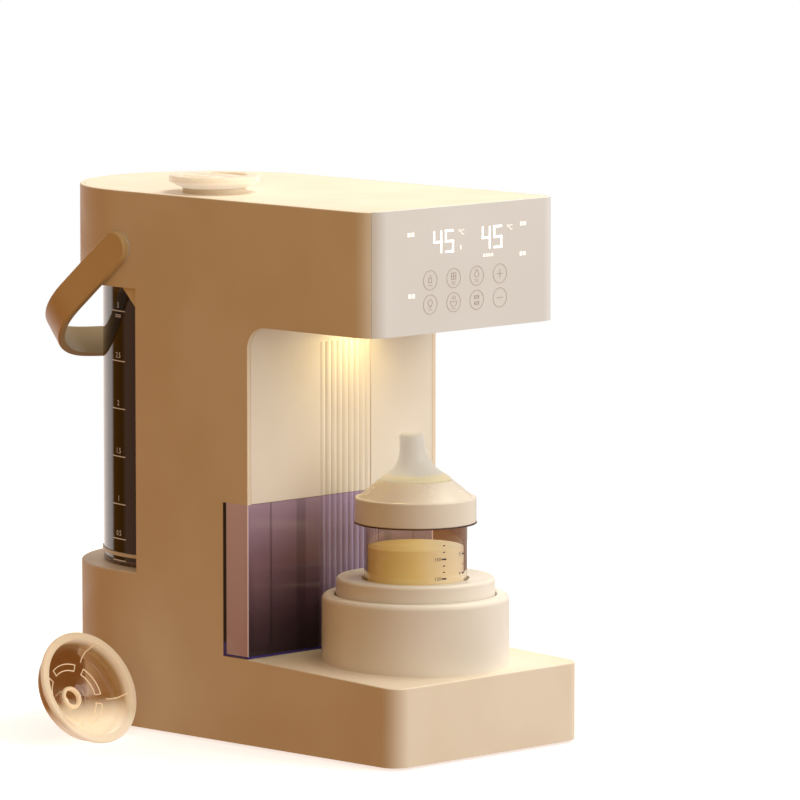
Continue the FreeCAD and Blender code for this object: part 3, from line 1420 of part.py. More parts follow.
def power_inlet():
    back = BACK_Y - INLET_RECESS
    half_x = INLET_WIDTH / 2 - SEAM
    half_z = INLET_HEIGHT / 2 - SEAM
    body = block((-half_x, half_x), (back - INLET_DEPTH, back), (INLET_Z - half_z, INLET_Z + half_z))
    well_x = half_x - INLET_WALL
    well_z = half_z - INLET_WALL
    floor = back - INLET_DEPTH + INLET_WALL
    well = block((-well_x, well_x), (floor, back + 1), (INLET_Z - well_z, INLET_Z + well_z))
    body = body.cut(well)
    pins = []
    for x in (-INLET_PIN_X, INLET_PIN_X):
        start = Vector(x, floor - SMALL, INLET_Z)
        pins.append(Part.makeCylinder(INLET_PIN_R, INLET_PIN_LENGTH, start, Vector(0, 1, 0)))
    return body.fuse(pins).removeSplitter()


PARTS = {
    "main_housing": main_housing,
    "top_cover": top_cover,
    "base_plate": base_plate,
    "foot_pads": foot_pads,
    "base_screws": base_screws,
    "control_panel": control_panel,
    "bay_liner": bay_liner,
    "bay_lamp_lens": bay_lamp_lens,
    "bay_lamp_board": bay_lamp_board,
    "smoked_cover": smoked_cover,
    "tank_bay_wall": tank_bay_wall,
    "tank_shell": tank_shell,
    "tank_foot_band": tank_foot_band,
    "tank_cap": tank_cap,
    "tank_outlet": tank_outlet,
    "fill_chute": fill_chute,
    "fill_lid": fill_lid,
    "lid_seal": lid_seal,
    "carry_handle": carry_handle,
    "pivot_pins": pivot_pins,
    "pivot_bushes": pivot_bushes,
    "warmer_cup": warmer_cup,
    "cup_screws": cup_screws,
    "heating_plate": heating_plate,
    "heating_film": heating_film,
    "temperature_sensor": temperature_sensor,
    "bottle_ring": bottle_ring,
    "bottle_glass": bottle_glass,
    "bottle_milk": bottle_milk,
    "bottle_collar": bottle_collar,
    "bottle_teat": bottle_teat,
    "milk_funnel": milk_funnel,
    "pump_housing": pump_housing,
    "pump_motor": pump_motor,
    "pump_rotor": pump_rotor,
    "inlet_hose": inlet_hose,
    "heater_tube": heater_tube,
    "heater_bracket": heater_bracket,
    "feed_hose": feed_hose,
    "outlet_hose": outlet_hose,
    "outlet_nozzle": outlet_nozzle,
    "control_board": control_board,
    "display_module": display_module,
    "touch_springs": touch_springs,
    "power_board": power_board,
    "power_inlet": power_inlet,
}


def main():
    os.makedirs("parts", exist_ok=True)
    for name, make in PARTS.items():
        shape = make()
        shape.exportStep("parts/" + name + ".step")
        sound = shape.isValid() and all(solid.isClosed() for solid in shape.Solids)
        box = shape.optimalBoundingBox(False)
        print(name, "solids", len(shape.Solids), "sound" if sound else "NOT SOUND",
              "volume", round(shape.Volume), "low", [round(v, 1) for v in (box.XMin, box.YMin, box.ZMin)],
              "high", [round(v, 1) for v in (box.XMax, box.YMax, box.ZMax)])


main()
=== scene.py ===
import math

import bmesh
import bpy
from mathutils import Matrix, Vector


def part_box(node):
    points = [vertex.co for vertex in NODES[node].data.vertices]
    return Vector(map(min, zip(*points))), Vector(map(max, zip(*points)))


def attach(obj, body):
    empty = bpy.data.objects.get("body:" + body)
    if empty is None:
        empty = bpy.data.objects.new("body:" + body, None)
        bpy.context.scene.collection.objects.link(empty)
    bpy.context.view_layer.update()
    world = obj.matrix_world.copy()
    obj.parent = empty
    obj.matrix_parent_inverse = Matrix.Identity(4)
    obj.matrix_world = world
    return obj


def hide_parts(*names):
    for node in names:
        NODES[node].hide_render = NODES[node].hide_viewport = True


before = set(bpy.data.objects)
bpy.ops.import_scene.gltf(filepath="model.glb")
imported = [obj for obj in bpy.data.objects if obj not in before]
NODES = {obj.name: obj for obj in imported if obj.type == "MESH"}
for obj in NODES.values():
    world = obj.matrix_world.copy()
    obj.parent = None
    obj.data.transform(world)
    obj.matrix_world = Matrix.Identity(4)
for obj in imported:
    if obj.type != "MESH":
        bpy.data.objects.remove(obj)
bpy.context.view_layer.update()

# Sizes are in millimetres and become metres where a mesh or a node is finished.
MM = 0.001


def node_box(name):
    """Lowest and highest corner of a solid at rest, in millimetres."""
    low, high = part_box(name)
    return Vector(low) / MM, Vector(high) / MM


PANEL_Y = node_box("control_panel")[0].y
TANK_LOW, TANK_HIGH = node_box("tank_shell")
BOTTLE_LOW, BOTTLE_HIGH = node_box("bottle_glass")
COLLAR_LOW, COLLAR_HIGH = node_box("bottle_collar")
TEAT_LOW, TEAT_HIGH = node_box("bottle_teat")
LENS_LOW, LENS_HIGH = node_box("bay_lamp_lens")
SMOKED_LOW, SMOKED_HIGH = node_box("smoked_cover")
TANK_R = (TANK_HIGH.x - TANK_LOW.x) / 2
TANK_AXIS = Vector((0, TANK_HIGH.y - TANK_R, 0))
BOTTLE_R = (BOTTLE_HIGH.x - BOTTLE_LOW.x) / 2
BOTTLE_AXIS = Vector((0, BOTTLE_HIGH.y - BOTTLE_R, 0))
UP = Vector((0, 0, 1))

# The bay's flutes, which get a painted highlight on the smoked cover: where their middle stands,
# how far they reach, how softly they end.
FLUTE_MIDDLE, FLUTE_REACH, FLUTE_FADE = 3.0, 25.0, 8.0
COVER_WALL = (1.2, 0.4)     # the smoked cover's side wall begins and is full this far in
# Painted shade of the smoked cover's front, as darker bands, at shares of the way from its
# middle to its side.
BACK_RIB_SHADE = ((0.0, 1.0), (0.385, 1.0), (0.4, 0.72), (0.48, 0.72), (0.495, 1.0),
             (0.74, 1.0), (0.75, 0.6), (0.762, 0.6), (0.772, 1.0), (1.0, 1.0))

# The funnel: how far its axis leans from the front, its mouth's middle, and points (radius,
# depth) where its wall turns into the dish and the dish into the hole.
FUNNEL_LEAN = 26.95
FUNNEL_MIDDLE = Vector((-134.6, 56.6, 35.07))
FUNNEL_PLACE = Matrix.Translation(FUNNEL_MIDDLE) @ Matrix.Rotation(
    math.radians(90 - FUNNEL_LEAN), 4, "X")
FUNNEL_AXIS = FUNNEL_PLACE.to_3x3() @ UP
DISH_HEEL = Vector((31.9, -14.0))
DISH_THROAT = Vector((11.0, -19.6))
MILKY_DEPTHS = (3.0, 14.0)      # below the mouth: the rim is milky down to here, the dish clear
CLEAR_HEIGHTS = (12.0, 25.0)    # over the floor: the low side is milky, the high side clear
PAINTED_GLOW_HEIGHTS = (10.0, 24.0)     # over the floor: the low side has a painted glow, the high side doesn't

TEAT_FOOT_SHADE = (3.5, 4.6)          # over the collar: where the teat foot's painted olive shade ends
# The milk's painted glow: the direction of its bright side, and how far it runs.
MILK_LIT_SIDE = Vector((0.71, -0.7, 0.0))
MILK_REACH = 30.0               # from the milk's middle to the bright and the dark side of its painted glow

# The room: directions in which things stand, and their colours.
ROOM_BRIGHT_SIDE = (0.68, -0.58, 0.45)
BACKDROP_SIDE = (0.37, 0.93, 0.0)
MIRRORED_SIDE = (-0.695, 0.707, -0.117)
SHEET_EDGE = (0.86, 0.9)        # cosines between which the white sheet's edge fades
PATCH_EDGE = (0.95, 0.98)       # and the mirrored patch's edge
ROOM_DARK = "#a46c2b"
ROOM_BRIGHT = "#fff8f0"
ROOM_DEEP = "#804c1c"           # what shows through the clear parts
MIRRORED_WALL = "#dca888"
SHEET = "#fff2ea"
ROOM_STRENGTH = 0.86
SHEET_GLOW = 1.6
SHEET_SPILL = 0.35              # share of the sheet's light that dull surfaces get
FLOOR_R = 0.9                   # metres; past it the backdrop is as white as the floor
FLOOR_GLOW = 0.62

# name, place, target, size (all in metres), watts, colour
STUDIO_LIGHTS = (
    ("softbox_front_right", (0.75, -2.1, 1.15), (0, -0.05, 0.15), (1.3, 1.3), 15.2, "#fff4ec"),
    ("softbox_top", (0.7, -0.1, 1.7), (0, 0, 0.2), (1.0, 1.0), 21.5, "#fdfbee"),
    ("card_left", (-0.62, -0.5, 0.62), (-0.085, -0.02, 0.34), (0.3, 0.3), 0.34, "#f4ffb4"),
)
BAY_LAMP_SIZE = (0.044, 0.011)
BAY_LAMP_AIM = (-0.08, 0.008)   # metres from the lens to where it points on the floor
BAY_LAMP_WATTS = 0.036
CAMERA_PLACE = (-3.2413, -3.3299, 0.7597)   # metres
CAMERA_DIP = 6.70               # degrees below level
CAMERA_TURN = -45.01            # degrees from looking along +Y
CAMERA_LENS = 325.4


# ---- materials ----
def linear(hex_code):
    """sRGB hex to the linear colour that a shader takes."""
    channels = [int(hex_code[i:i + 2], 16) / 255 for i in (1, 3, 5)]
    low = [c / 12.92 for c in channels]
    high = [((c + 0.055) / 1.055) ** 2.4 for c in channels]
    return [a if c <= 0.04045 else b for a, b, c in zip(low, high, channels)] + [1.0]


def add(tree, kind, settings=None):
    """Adds a node. A setting is an output to link, a value for an input, or a property."""
    made = tree.nodes.new(kind)
    for name, value in (settings or {}).items():
        if isinstance(value, bpy.types.NodeSocket):
            tree.links.new(value, made.inputs[name])
        elif isinstance(name, int) or name in made.inputs:
            made.inputs[name].default_value = value
        else:
            setattr(made, name, value)
    return made


def remap(tree, value, start, end, low=0.0, high=1.0):
    """Runs from low to high while a value runs from start to end."""
    return add(tree, "ShaderNodeMapRange", {
        "Value": value, "From Min": start, "From Max": end, "To Min": low, "To Max": high,
    }).outputs["Result"]


def reckon(tree, operation, first, second=0.0):
    """Result of one Math node."""
    return add(tree, "ShaderNodeMath", {
        "operation": operation, 0: first, 1: second}).outputs["Value"]


def along(tree, vector, direction):
    """How far a vector reaches in a fixed direction."""
    return add(tree, "ShaderNodeVectorMath", {
        "operation": "DOT_PRODUCT", 0: vector, 1: direction}).outputs["Value"]


def axes(tree, vector):
    """A vector's X, Y and Z."""
    return add(tree, "ShaderNodeSeparateXYZ", {"Vector": vector}).outputs


def mixed(tree, share, first, second, blend="MIX"):
    """Colour between two, each an output or a linear colour."""
    return add(tree, "ShaderNodeMix", {
        "data_type": "RGBA", "blend_type": blend, 0: share, 6: first, 7: second}).outputs[2]


def ramp(tree, share, stops, interpolation="LINEAR"):
    """Colour at a share of the way through stops (share, linear colour) that run from 0 to 1."""
    node = add(tree, "ShaderNodeValToRGB", {"Fac": share})
    colours = node.color_ramp
    colours.interpolation = interpolation
    colours.elements[0].color = stops[0][1]
    colours.elements[1].color = stops[-1][1]
    for where, colour in stops[1:-1]:
        colours.elements.new(where).color = colour
    return node.outputs["Color"]


def hex_stops(*stops):
    """Stops for a ramp, from pairs (share, sRGB hex)."""
    return [(where, linear(hex_code)) for where, hex_code in stops]


def start_material(name, **sockets):
    """New material with one Principled shader, its constants set on the sockets."""
    material = bpy.data.materials.new(name)
    material.use_nodes = True
    tree = material.node_tree
    shader = tree.nodes["Principled BSDF"]
    for socket, value in sockets.items():
        shader.inputs[socket.replace("_", " ")].default_value = value
    return material, tree, shader


def drive(tree, shader, socket, source):
    """Links an output to a shader's socket."""
    tree.links.new(source, shader.inputs[socket])


def grain(tree, shader, size_mm, depth_mm, detail=4.0):
    """Fine surface relief from noise whose features are size_mm across; gives coordinates."""
    place = add(tree, "ShaderNodeTexCoord").outputs
    noise = add(tree, "ShaderNodeTexNoise", {
        "Vector": place["Object"], "Scale": 1 / (size_mm * MM), "Detail": detail,
        "Roughness": 0.55})
    bump = add(tree, "ShaderNodeBump", {
        "Height": noise.outputs["Fac"], "Strength": 1.0, "Distance": depth_mm * MM})
    drive(tree, shader, "Normal", bump.outputs["Normal"])
    return place


def drift(tree, place, size_mm, detail, start, end, low=0.0, high=1.0):
    """Value that wanders over the surface in patches of size_mm."""
    cloud = add(tree, "ShaderNodeTexNoise", {
        "Vector": place["Object"], "Scale": 1 / (size_mm * MM), "Detail": detail})
    return remap(tree, cloud.outputs["Fac"], start, end, low, high)


def tint(tree, shader, place, dark, light, size_mm):
    """Slow drift between two near colours, as real mouldings have."""
    share = drift(tree, place, size_mm, 2.0, 0.35, 0.65)
    drive(tree, shader, "Base Color", mixed(tree, share, linear(dark), linear(light)))


def roughness_drift(tree, shader, place, low, high, size_mm):
    """Soft patches of more and less polish."""
    drive(tree, shader, "Roughness", drift(tree, place, size_mm, 3.0, 0.3, 0.7, low, high))


def moulded(name, dark, light, rough, grain_mm=0.9, depth_mm=0.012, **sockets):
    """Injection-moulded plastic: spark-eroded grain and a faint drift of colour.

    The real grain is about 0.2 mm, too fine to show, so it is drawn about 1 mm wide.
    """
    material, tree, shader = start_material(name, **sockets)
    place = grain(tree, shader, grain_mm, depth_mm)
    tint(tree, shader, place, dark, light, 60.0)
    roughness_drift(tree, shader, place, rough - 0.05, rough + 0.05, 25.0)
    return material


def clear_plastic(name, colour, rough, ior, wave_mm, depth_mm):
    """Clear wall: light goes through, and its slow waves bend the light a little."""
    material, tree, shader = start_material(
        name, Base_Color=linear(colour), Roughness=rough, IOR=ior, Transmission_Weight=1.0)
    grain(tree, shader, wave_mm, depth_mm, detail=1.0)
    return material


def metal(name, colour, rough, across_mm, along_mm):
    """Metal with fine drawn or turned lines."""
    material, tree, shader = start_material(name, Metallic=1.0, Base_Color=linear(colour))
    place = add(tree, "ShaderNodeTexCoord").outputs
    stretch = add(tree, "ShaderNodeMapping", {
        "Vector": place["Object"],
        "Scale": [1 / (size * MM) for size in (across_mm, across_mm, along_mm)]})
    lines = add(tree, "ShaderNodeTexNoise", {
        "Vector": stretch.outputs["Vector"], "Scale": 1.0, "Detail": 3.0}).outputs["Fac"]
    drive(tree, shader, "Roughness",
          remap(tree, lines, 0.0, 1.0, low=rough - 0.08, high=rough + 0.1))
    bump = add(tree, "ShaderNodeBump", {
        "Height": lines, "Strength": 0.3, "Distance": 0.01 * MM})
    drive(tree, shader, "Normal", bump.outputs["Normal"])
    return material


def printed(name, colour, rough=0.4):
    """Ink or enamel, with the slight unevenness of its film."""
    material, tree, shader = start_material(name, Base_Color=linear(colour))
    place = grain(tree, shader, 0.6, 0.004)
    roughness_drift(tree, shader, place, rough - 0.05, rough + 0.05, 4.0)
    return material


def lit(name, colour, strength):
    """Mark or edge that gives light of its own, with a faintly uneven face."""
    material, tree, shader = start_material(
        name, Base_Color=linear(colour), Emission_Color=linear(colour),
        Emission_Strength=strength, Roughness=0.3)
    grain(tree, shader, 1.0, 0.003)
    return material


def acrylic_panel():
    # Back-printed acrylic: flat and pale under a hard clear gloss.
    material, tree, shader = start_material(
        "back_printed_acrylic_beige", IOR=1.49, Coat_Weight=0.6, Coat_Roughness=0.04,
        Coat_IOR=1.49)
    place = grain(tree, shader, 60.0, 0.02, detail=1.0)
    tint(tree, shader, place, "#dcdcdb", "#e0e0e0", 80.0)
    roughness_drift(tree, shader, place, 0.16, 0.22, 30.0)
    return material


def smoked_polycarbonate():
    # Smoked polycarbonate, gloss moulded. Its colour is painted light and shade: the front wall
    # is painted mauve high up and near black low down, and the side walls a paler lilac.
    material, tree, shader = start_material(
        "moulded_polycarbonate_smoked_violet", Roughness=0.06, IOR=1.585)
    spot = axes(tree, grain(tree, shader, 40.0, 0.03, detail=1.0)["Object"])
    height = remap(tree, spot["Z"], SMOKED_LOW.z * MM, SMOKED_HIGH.z * MM)
    # Painted shade low down and painted light high up, on the front and on the side walls.
    front = ramp(tree, height, hex_stops(
        (0.0, "#34283a"), (0.22, "#55404e"), (0.6, "#987789"), (1.0, "#d2b8d6")))
    side = ramp(tree, height, hex_stops((0.0, "#c9aec6"), (1.0, "#e4d6f6")))
    # Painted highlight: the flutes are painted a paler violet where the lamp's light from above
    # would catch them.
    away = reckon(tree, "ABSOLUTE", reckon(tree, "SUBTRACT", spot["X"], FLUTE_MIDDLE * MM))
    flute_highlight = remap(tree, away, FLUTE_REACH * MM, (FLUTE_REACH - FLUTE_FADE) * MM, high=0.66)
    front = mixed(tree, flute_highlight, front, linear("#e0ccff"))
    # Painted shade: faint darker upright bands where the wall behind the cover is ribbed.
    out = reckon(tree, "ABSOLUTE", spot["X"])
    rib_shade = ramp(tree, remap(tree, out, 0.0, SMOKED_HIGH.x * MM),
                 [(where, (shade, shade, shade, 1.0)) for where, shade in BACK_RIB_SHADE])
    front = mixed(tree, 1.0, front, rib_shade, "MULTIPLY")
    wall = remap(tree, out, *((SMOKED_HIGH.x - depth) * MM for depth in COVER_WALL))
    drive(tree, shader, "Base Color", mixed(tree, wall, front, side))
    drive(tree, shader, "Transmission Weight",
          remap(tree, wall, 0.0, 1.0, low=0.42, high=0.08))
    return material


def funnel_pp():
    # Clarified PP, moulded: the thick rim and the outer faces are milky and pale, and the
    # thin dish lets light through.
    material, tree, shader = start_material(
        "moulded_clarified_pp", Base_Color=linear("#f2dcb4"), Roughness=0.1, IOR=1.49,
        Emission_Color=linear("#f4f3e6"), Subsurface_Weight=0.3, Subsurface_Scale=0.004)
    place = grain(tree, shader, 18.0, 0.02, detail=1.0)
    height = axes(tree, place["Object"])["Z"]
    mouth = FUNNEL_AXIS.dot(FUNNEL_MIDDLE)
    clear = remap(tree, along(tree, place["Object"], FUNNEL_AXIS),
                  *((mouth - depth) * MM for depth in MILKY_DEPTHS), low=0.12, high=0.98)
    upper = remap(tree, height, *(level * MM for level in CLEAR_HEIGHTS), low=0.2)
    inner = remap(tree, along(tree, place["Normal"], FUNNEL_AXIS), -0.3, 0.1, low=0.45)
    through = reckon(tree, "MULTIPLY", reckon(tree, "MULTIPLY", clear, upper), inner)
    drive(tree, shader, "Transmission Weight", through)
    # Painted light: the low side of the dish, and the rim all round, glow faintly, standing in
    # for light that runs down inside the wall.
    low_painted_glow = remap(tree, height, *(level * MM for level in PAINTED_GLOW_HEIGHTS), low=0.38, high=0.0)
    rim_painted_glow = remap(tree, clear, 0.12, 0.5, low=0.2, high=0.0)
    drive(tree, shader, "Emission Strength", reckon(tree, "MAXIMUM", low_painted_glow, rim_painted_glow))
    return material


def silicone():
    # Cast silicone: milky and soft. Painted light and shade: it glows faintly for light that
    # bleeds into it, and its foot is painted a darker olive.
    material, tree, shader = start_material(
        "cast_silicone_translucent", IOR=1.41, Transmission_Weight=0.35, Roughness=0.3,
        Subsurface_Weight=0.4, Subsurface_Scale=0.006, Emission_Color=linear("#ece8da"),
        Emission_Strength=0.28)
    place = grain(tree, shader, 2.0, 0.01)
    foot = remap(tree, axes(tree, place["Object"])["Z"],
                 *((COLLAR_HIGH.z + rise) * MM for rise in TEAT_FOOT_SHADE))
    drive(tree, shader, "Base Color", mixed(tree, foot, linear("#c9bd8a"), linear("#bab9b1")))
    return material


def formula_milk():
    # Mixed formula: opaque warm cream. Its glow is painted light, from dark brown to near white
    # across it, for light scattered through it, paler on the side where the light comes in.
    material, tree, shader = start_material(
        "mixed_formula_milk", Roughness=0.35, IOR=1.35, Subsurface_Weight=0.4,
        Subsurface_Scale=0.006, Specular_IOR_Level=0.1, Emission_Strength=0.57)
    place = grain(tree, shader, 12.0, 0.03, detail=2.0)
    tint(tree, shader, place, "#e6c273", "#eccf86", 18.0)
    middle = MILK_LIT_SIDE.dot(BOTTLE_AXIS)
    side = remap(tree, along(tree, place["Object"], MILK_LIT_SIDE),
                 (middle - MILK_REACH) * MM, (middle + MILK_REACH) * MM)
    painted_glow = ramp(tree, side, hex_stops((0.0, "#8f6732"), (0.5, "#ddc684"), (1.0, "#fff8e6")))
    drive(tree, shader, "Emission Color", painted_glow)
    return material


def ivory_lid():
    # Moulded PP, ivory and translucent. Painted light: faces that don't look up glow faintly,
    # for light that falls on the lid's top and shows in its neck.
    material = moulded("moulded_pp_smooth_ivory", "#cfc3ab", "#d6cbb6", 0.34, depth_mm=0.005,
                       Subsurface_Weight=1.0, Subsurface_Radius=(1.0, 0.9, 0.8),
                       Subsurface_Scale=0.012, Emission_Color=linear("#f8f8f2"))
    tree = material.node_tree
    place = add(tree, "ShaderNodeTexCoord").outputs
    painted_glow = remap(tree, axes(tree, place["Normal"])["Z"], -0.2, 0.7, low=0.34, high=0.0)
    drive(tree, tree.nodes["Principled BSDF"], "Emission Strength", painted_glow)
    return material


def circuit_board():
    # Fibreglass laminate under green solder mask, with paler copper tracks below it.
    material, tree, shader = start_material("laminated_board_green_mask", Roughness=0.3)
    place = grain(tree, shader, 1.5, 0.01)
    tracks = add(tree, "ShaderNodeTexVoronoi", {
        "Vector": place["Object"], "Scale": 1 / (4.0 * MM), "distance": "CHEBYCHEV"})
    drive(tree, shader, "Base Color", ramp(tree, tracks.outputs["Distance"],
                                           hex_stops((0.0, "#1f6a3c"), (1.0, "#0f3f22"))))
    return material


MATERIALS = {
    # Moulded ABS, spark-eroded satin: broad soft highlights on a warm cream.
    "cream": moulded("moulded_abs_satin_cream", "#e6d8c2", "#ebdfcb", 0.46,
                     Specular_IOR_Level=0.28),
    # Moulded PP in a cooler cream, a little smoother: the edges catch thin highlights.
    "trim": moulded("moulded_pp_smooth_cream", "#e6e0d3", "#ece6dc", 0.36, depth_mm=0.006,
                    Specular_IOR_Level=0.4),
    # Moulded PP from a polished tool: sharper highlights on the collar's edges and cone.
    "collar": moulded("moulded_pp_gloss_cream", "#e3dbcd", "#e9e2d6", 0.24, depth_mm=0.003,
                      Specular_IOR_Level=0.5),
    # Moulded PP, a warm sand colour: the handle reads a shade darker than the body.
    "sand": moulded("moulded_pp_smooth_sand", "#d3b886", "#dac192", 0.36, depth_mm=0.006),
    "ivory": ivory_lid(),
    "panel": acrylic_panel(),
    "smoked": smoked_polycarbonate(),
    # Tinted copolyester, blow-moulded: dark brown in its depth, bright at its rim.
    "tank": clear_plastic("moulded_copolyester_brown_tint", "#553a2c", 0.05, 1.57, 45.0, 0.05),
    # Drawn borosilicate glass: clear and bright-edged, with faint waves.
    "glass": clear_plastic("drawn_borosilicate_clear", "#fbf3e4", 0.0, 1.47, 30.0, 0.01),
    "funnel": funnel_pp(),
    "silicone": silicone(),
    "milk": formula_milk(),
    # Drawn stainless steel: grey with lines along its length.
    "steel": metal("drawn_stainless_steel", "#b8b4ae", 0.3, 0.4, 20.0),
    # Turned aluminium: paler, with finer lines.
    "aluminium": metal("turned_aluminium", "#d0ccc6", 0.35, 0.8, 8.0),
    # Glass-filled nylon, moulded: near black and dull.
    "nylon": moulded("moulded_nylon_black", "#161514", "#1d1b1a", 0.5),
    # Acetal, moulded: clean white with a waxy sheen.
    "acetal": moulded("moulded_acetal_white", "#dcd9d2", "#e6e3dc", 0.32, depth_mm=0.004),
    # Moulded rubber: soft black with no highlight.
    "rubber": moulded("moulded_rubber_black", "#1a1a1a", "#232221", 0.75),
    "board": circuit_board(),
    # Polyimide film, etched: amber with a dull shine.
    "film": moulded("etched_polyimide_amber", "#a85e1e", "#b86a26", 0.35, depth_mm=0.003),
    # Diffusing lens, lit from behind: warm white.
    "lamp": lit("moulded_diffuser_warm", "#ffd98a", 4.0),
    # Light-emitting segments behind the acrylic: clean white numbers.
    "digits": lit("led_segments_white", "#fffaf2", 1.6),
    # Softer lit marks: the same white, dimmer behind the print.
    "label": lit("led_labels_white", "#f6ece4", 0.55),
    # Grey-brown ink, screen printed: thin lines that only just stand out.
    "grey_ink": printed("screen_print_taupe", "#bbafa5"),
    # White ink, screen printed: chalky on the dark tank, with a faint painted glow to keep it
    # pale.
    "white_ink_glow": lit("screen_print_white", "#dcdad8", 0.1),
    # Dark fired enamel on glass: sharp small marks.
    "dark_ink": printed("fired_enamel_dark", "#2a211a"),
    # Edges of the smoked cover, painted light: a blue-violet glow along the foot, a pale
    # highlight up the corner.
    "violet_edge_glow": moulded("polycarbonate_edge_violet_glow", "#3a2d86", "#44379c", 0.16,
                           depth_mm=0.003),
    "pale_edge_highlight": moulded("polycarbonate_edge_pale_highlight", "#e6d2d2", "#f0dede", 0.2,
                         depth_mm=0.003),
    # The same clarified PP where ribs and lips make it thicker: paler, with a faint painted glow
    # for their bright edges.
    "funnel_rib_glow": lit("moulded_clarified_pp_ribs", "#ffe9c6", 0.22),
    # Moulded amber silicone: a dark line where the collar seals.
    "amber": clear_plastic("moulded_silicone_amber", "#96602c", 0.3, 1.41, 6.0, 0.01),
}

FINISH = {
    "aluminium": "heating_plate",
    "acetal": "fill_chute pivot_bushes pump_rotor outlet_nozzle",
    "board": "bay_lamp_board control_board power_board",
    "collar": "bottle_collar",
    "cream": "main_housing top_cover base_plate tank_bay_wall",
    "film": "heating_film",
    "funnel": "milk_funnel",
    "glass": "bottle_glass",
    "ivory": "fill_lid",
    "lamp": "bay_lamp_lens",
    "milk": "bottle_milk",
    "nylon": "tank_outlet pump_housing heater_bracket display_module power_inlet",
    "panel": "control_panel",
    "rubber": "foot_pads",
    "sand": "carry_handle",
    "silicone": "lid_seal bottle_teat inlet_hose feed_hose outlet_hose",
    "smoked": "smoked_cover",
    "steel": "base_screws cup_screws pivot_pins temperature_sensor pump_motor heater_tube "
             "touch_springs",
    "tank": "tank_shell tank_cap",
    "trim": "bay_liner tank_foot_band warmer_cup bottle_ring",
}
for finish, node_names in FINISH.items():
    for node_name in node_names.split():
        solid = NODES[node_name]
        solid.data.materials.clear()
        solid.data.materials.append(MATERIALS[finish])


# ---- shaping tools ----
PRINT_T = 0.08        # thickness of a printed mark
PRINT_GAP = 0.02      # how far it stands off its surface
CAP_HEIGHT = 0.7      # height of a number for a font size of one


def finish_piece(name, form, finish, body):
    """Turns a bmesh in millimetres into a piece that rides on a body."""
    bmesh.ops.scale(form, vec=(MM, MM, MM), verts=form.verts)
    mesh = bpy.data.meshes.new(name)
    form.to_mesh(mesh)
    form.free()
    mesh.materials.append(MATERIALS[finish])
    made = bpy.data.objects.new(name, mesh)
    bpy.context.scene.collection.objects.link(made)
    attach(made, body)
    return made


def put(form, part, place=Matrix()):
    """Adds a small closed shape to a form, moved by a matrix, its faces outwards."""
    bmesh.ops.transform(part, matrix=place, verts=part.verts)
    bmesh.ops.recalc_face_normals(part, faces=part.faces)
    mesh = bpy.data.meshes.new("part")
    part.to_mesh(mesh)
    part.free()
    form.from_mesh(mesh)
    bpy.data.meshes.remove(mesh)


def stroke(form, start, end, width):
    """Straight printed line with rounded corners, from one point (x, z) to another."""
    run = Vector((end[0] - start[0], 0, end[1] - start[1]))
    middle = Vector((start[0] + end[0], 0, start[1] + end[1])) / 2
    part = bmesh.new()
    bmesh.ops.create_cube(part, size=1.0)
    bmesh.ops.scale(part, vec=(run.length + width, PRINT_T, width), verts=part.verts)
    corners = [e for e in part.edges if abs(e.verts[0].co.y - e.verts[1].co.y) > PRINT_T / 2]
    bmesh.ops.bevel(part, geom=corners, offset=width * 0.48, segments=3, profile=0.5,
                    affect="EDGES", material=-1)
    turn = Matrix.Rotation(math.atan2(-run.z, run.x), 4, "Y")
    put(form, part, Matrix.Translation(middle) @ turn)


def arc(form, middle, radius, width, start=0.0, sweep=360.0, steps=28):
    """Round printed line about a point (x, z); degrees from +X towards +Z."""
    part = bmesh.new()
    bmesh.ops.create_grid(part, x_segments=1, y_segments=1, size=0.5)
    bmesh.ops.scale(part, vec=(width, PRINT_T, 1), verts=part.verts)
    bmesh.ops.translate(part, vec=(radius, 0, 0), verts=part.verts)
    spun(part, (0, 1, 0), -sweep, steps)
    turn = Matrix.Rotation(math.radians(-start), 4, "Y")
    put(form, part, Matrix.Translation((middle[0], 0, middle[1])) @ turn)


def spun(part, axis, sweep, steps):
    """Spins the one face that a bmesh holds about an axis through the origin."""
    full = abs(sweep) == 360
    if full:
        bmesh.ops.delete(part, geom=part.faces[:], context="FACES_ONLY")
    bmesh.ops.spin(part, geom=part.verts[:] + part.edges[:] + part.faces[:], cent=(0, 0, 0),
                   axis=axis, dvec=(0, 0, 0), angle=math.radians(sweep), steps=steps,
                   use_merge=full)


def numeral(form, text, middle, height):
    """Plain number, centred on a point (x, z)."""
    words = bpy.data.curves.new("number", "FONT")
    words.body = text
    words.size = height / CAP_HEIGHT
    words.align_x = "CENTER"
    words.align_y = "CENTER"
    words.extrude = PRINT_T / 2
    words.resolution_u = 2
    maker = bpy.data.objects.new("number", words)
    mesh = bpy.data.meshes.new_from_object(maker)
    part = bmesh.new()
    part.from_mesh(mesh)
    bpy.data.objects.remove(maker)
    bpy.data.curves.remove(words)
    bpy.data.meshes.remove(mesh)
    upright = Matrix.Rotation(math.radians(90), 4, "X")
    put(form, part, Matrix.Translation((middle[0], 0, middle[1])) @ upright)


def wrap(form, axis, radius, middle_angle):
    """Bends flat print round an upright cylinder; x = 0 comes at middle_angle degrees."""
    reach_x = max(abs(v.co.x) for v in form.verts)
    for cut in range(-int(reach_x), int(reach_x) + 1):
        bmesh.ops.bisect_plane(form, geom=form.verts[:] + form.edges[:] + form.faces[:],
                               plane_co=(cut, 0, 0), plane_no=(1, 0, 0))
    for vert in form.verts:
        angle = math.radians(middle_angle) + vert.co.x / radius
        reach = radius + PRINT_GAP + PRINT_T / 2 - vert.co.y
        vert.co = (axis.x + reach * math.cos(angle), axis.y + reach * math.sin(angle), vert.co.z)


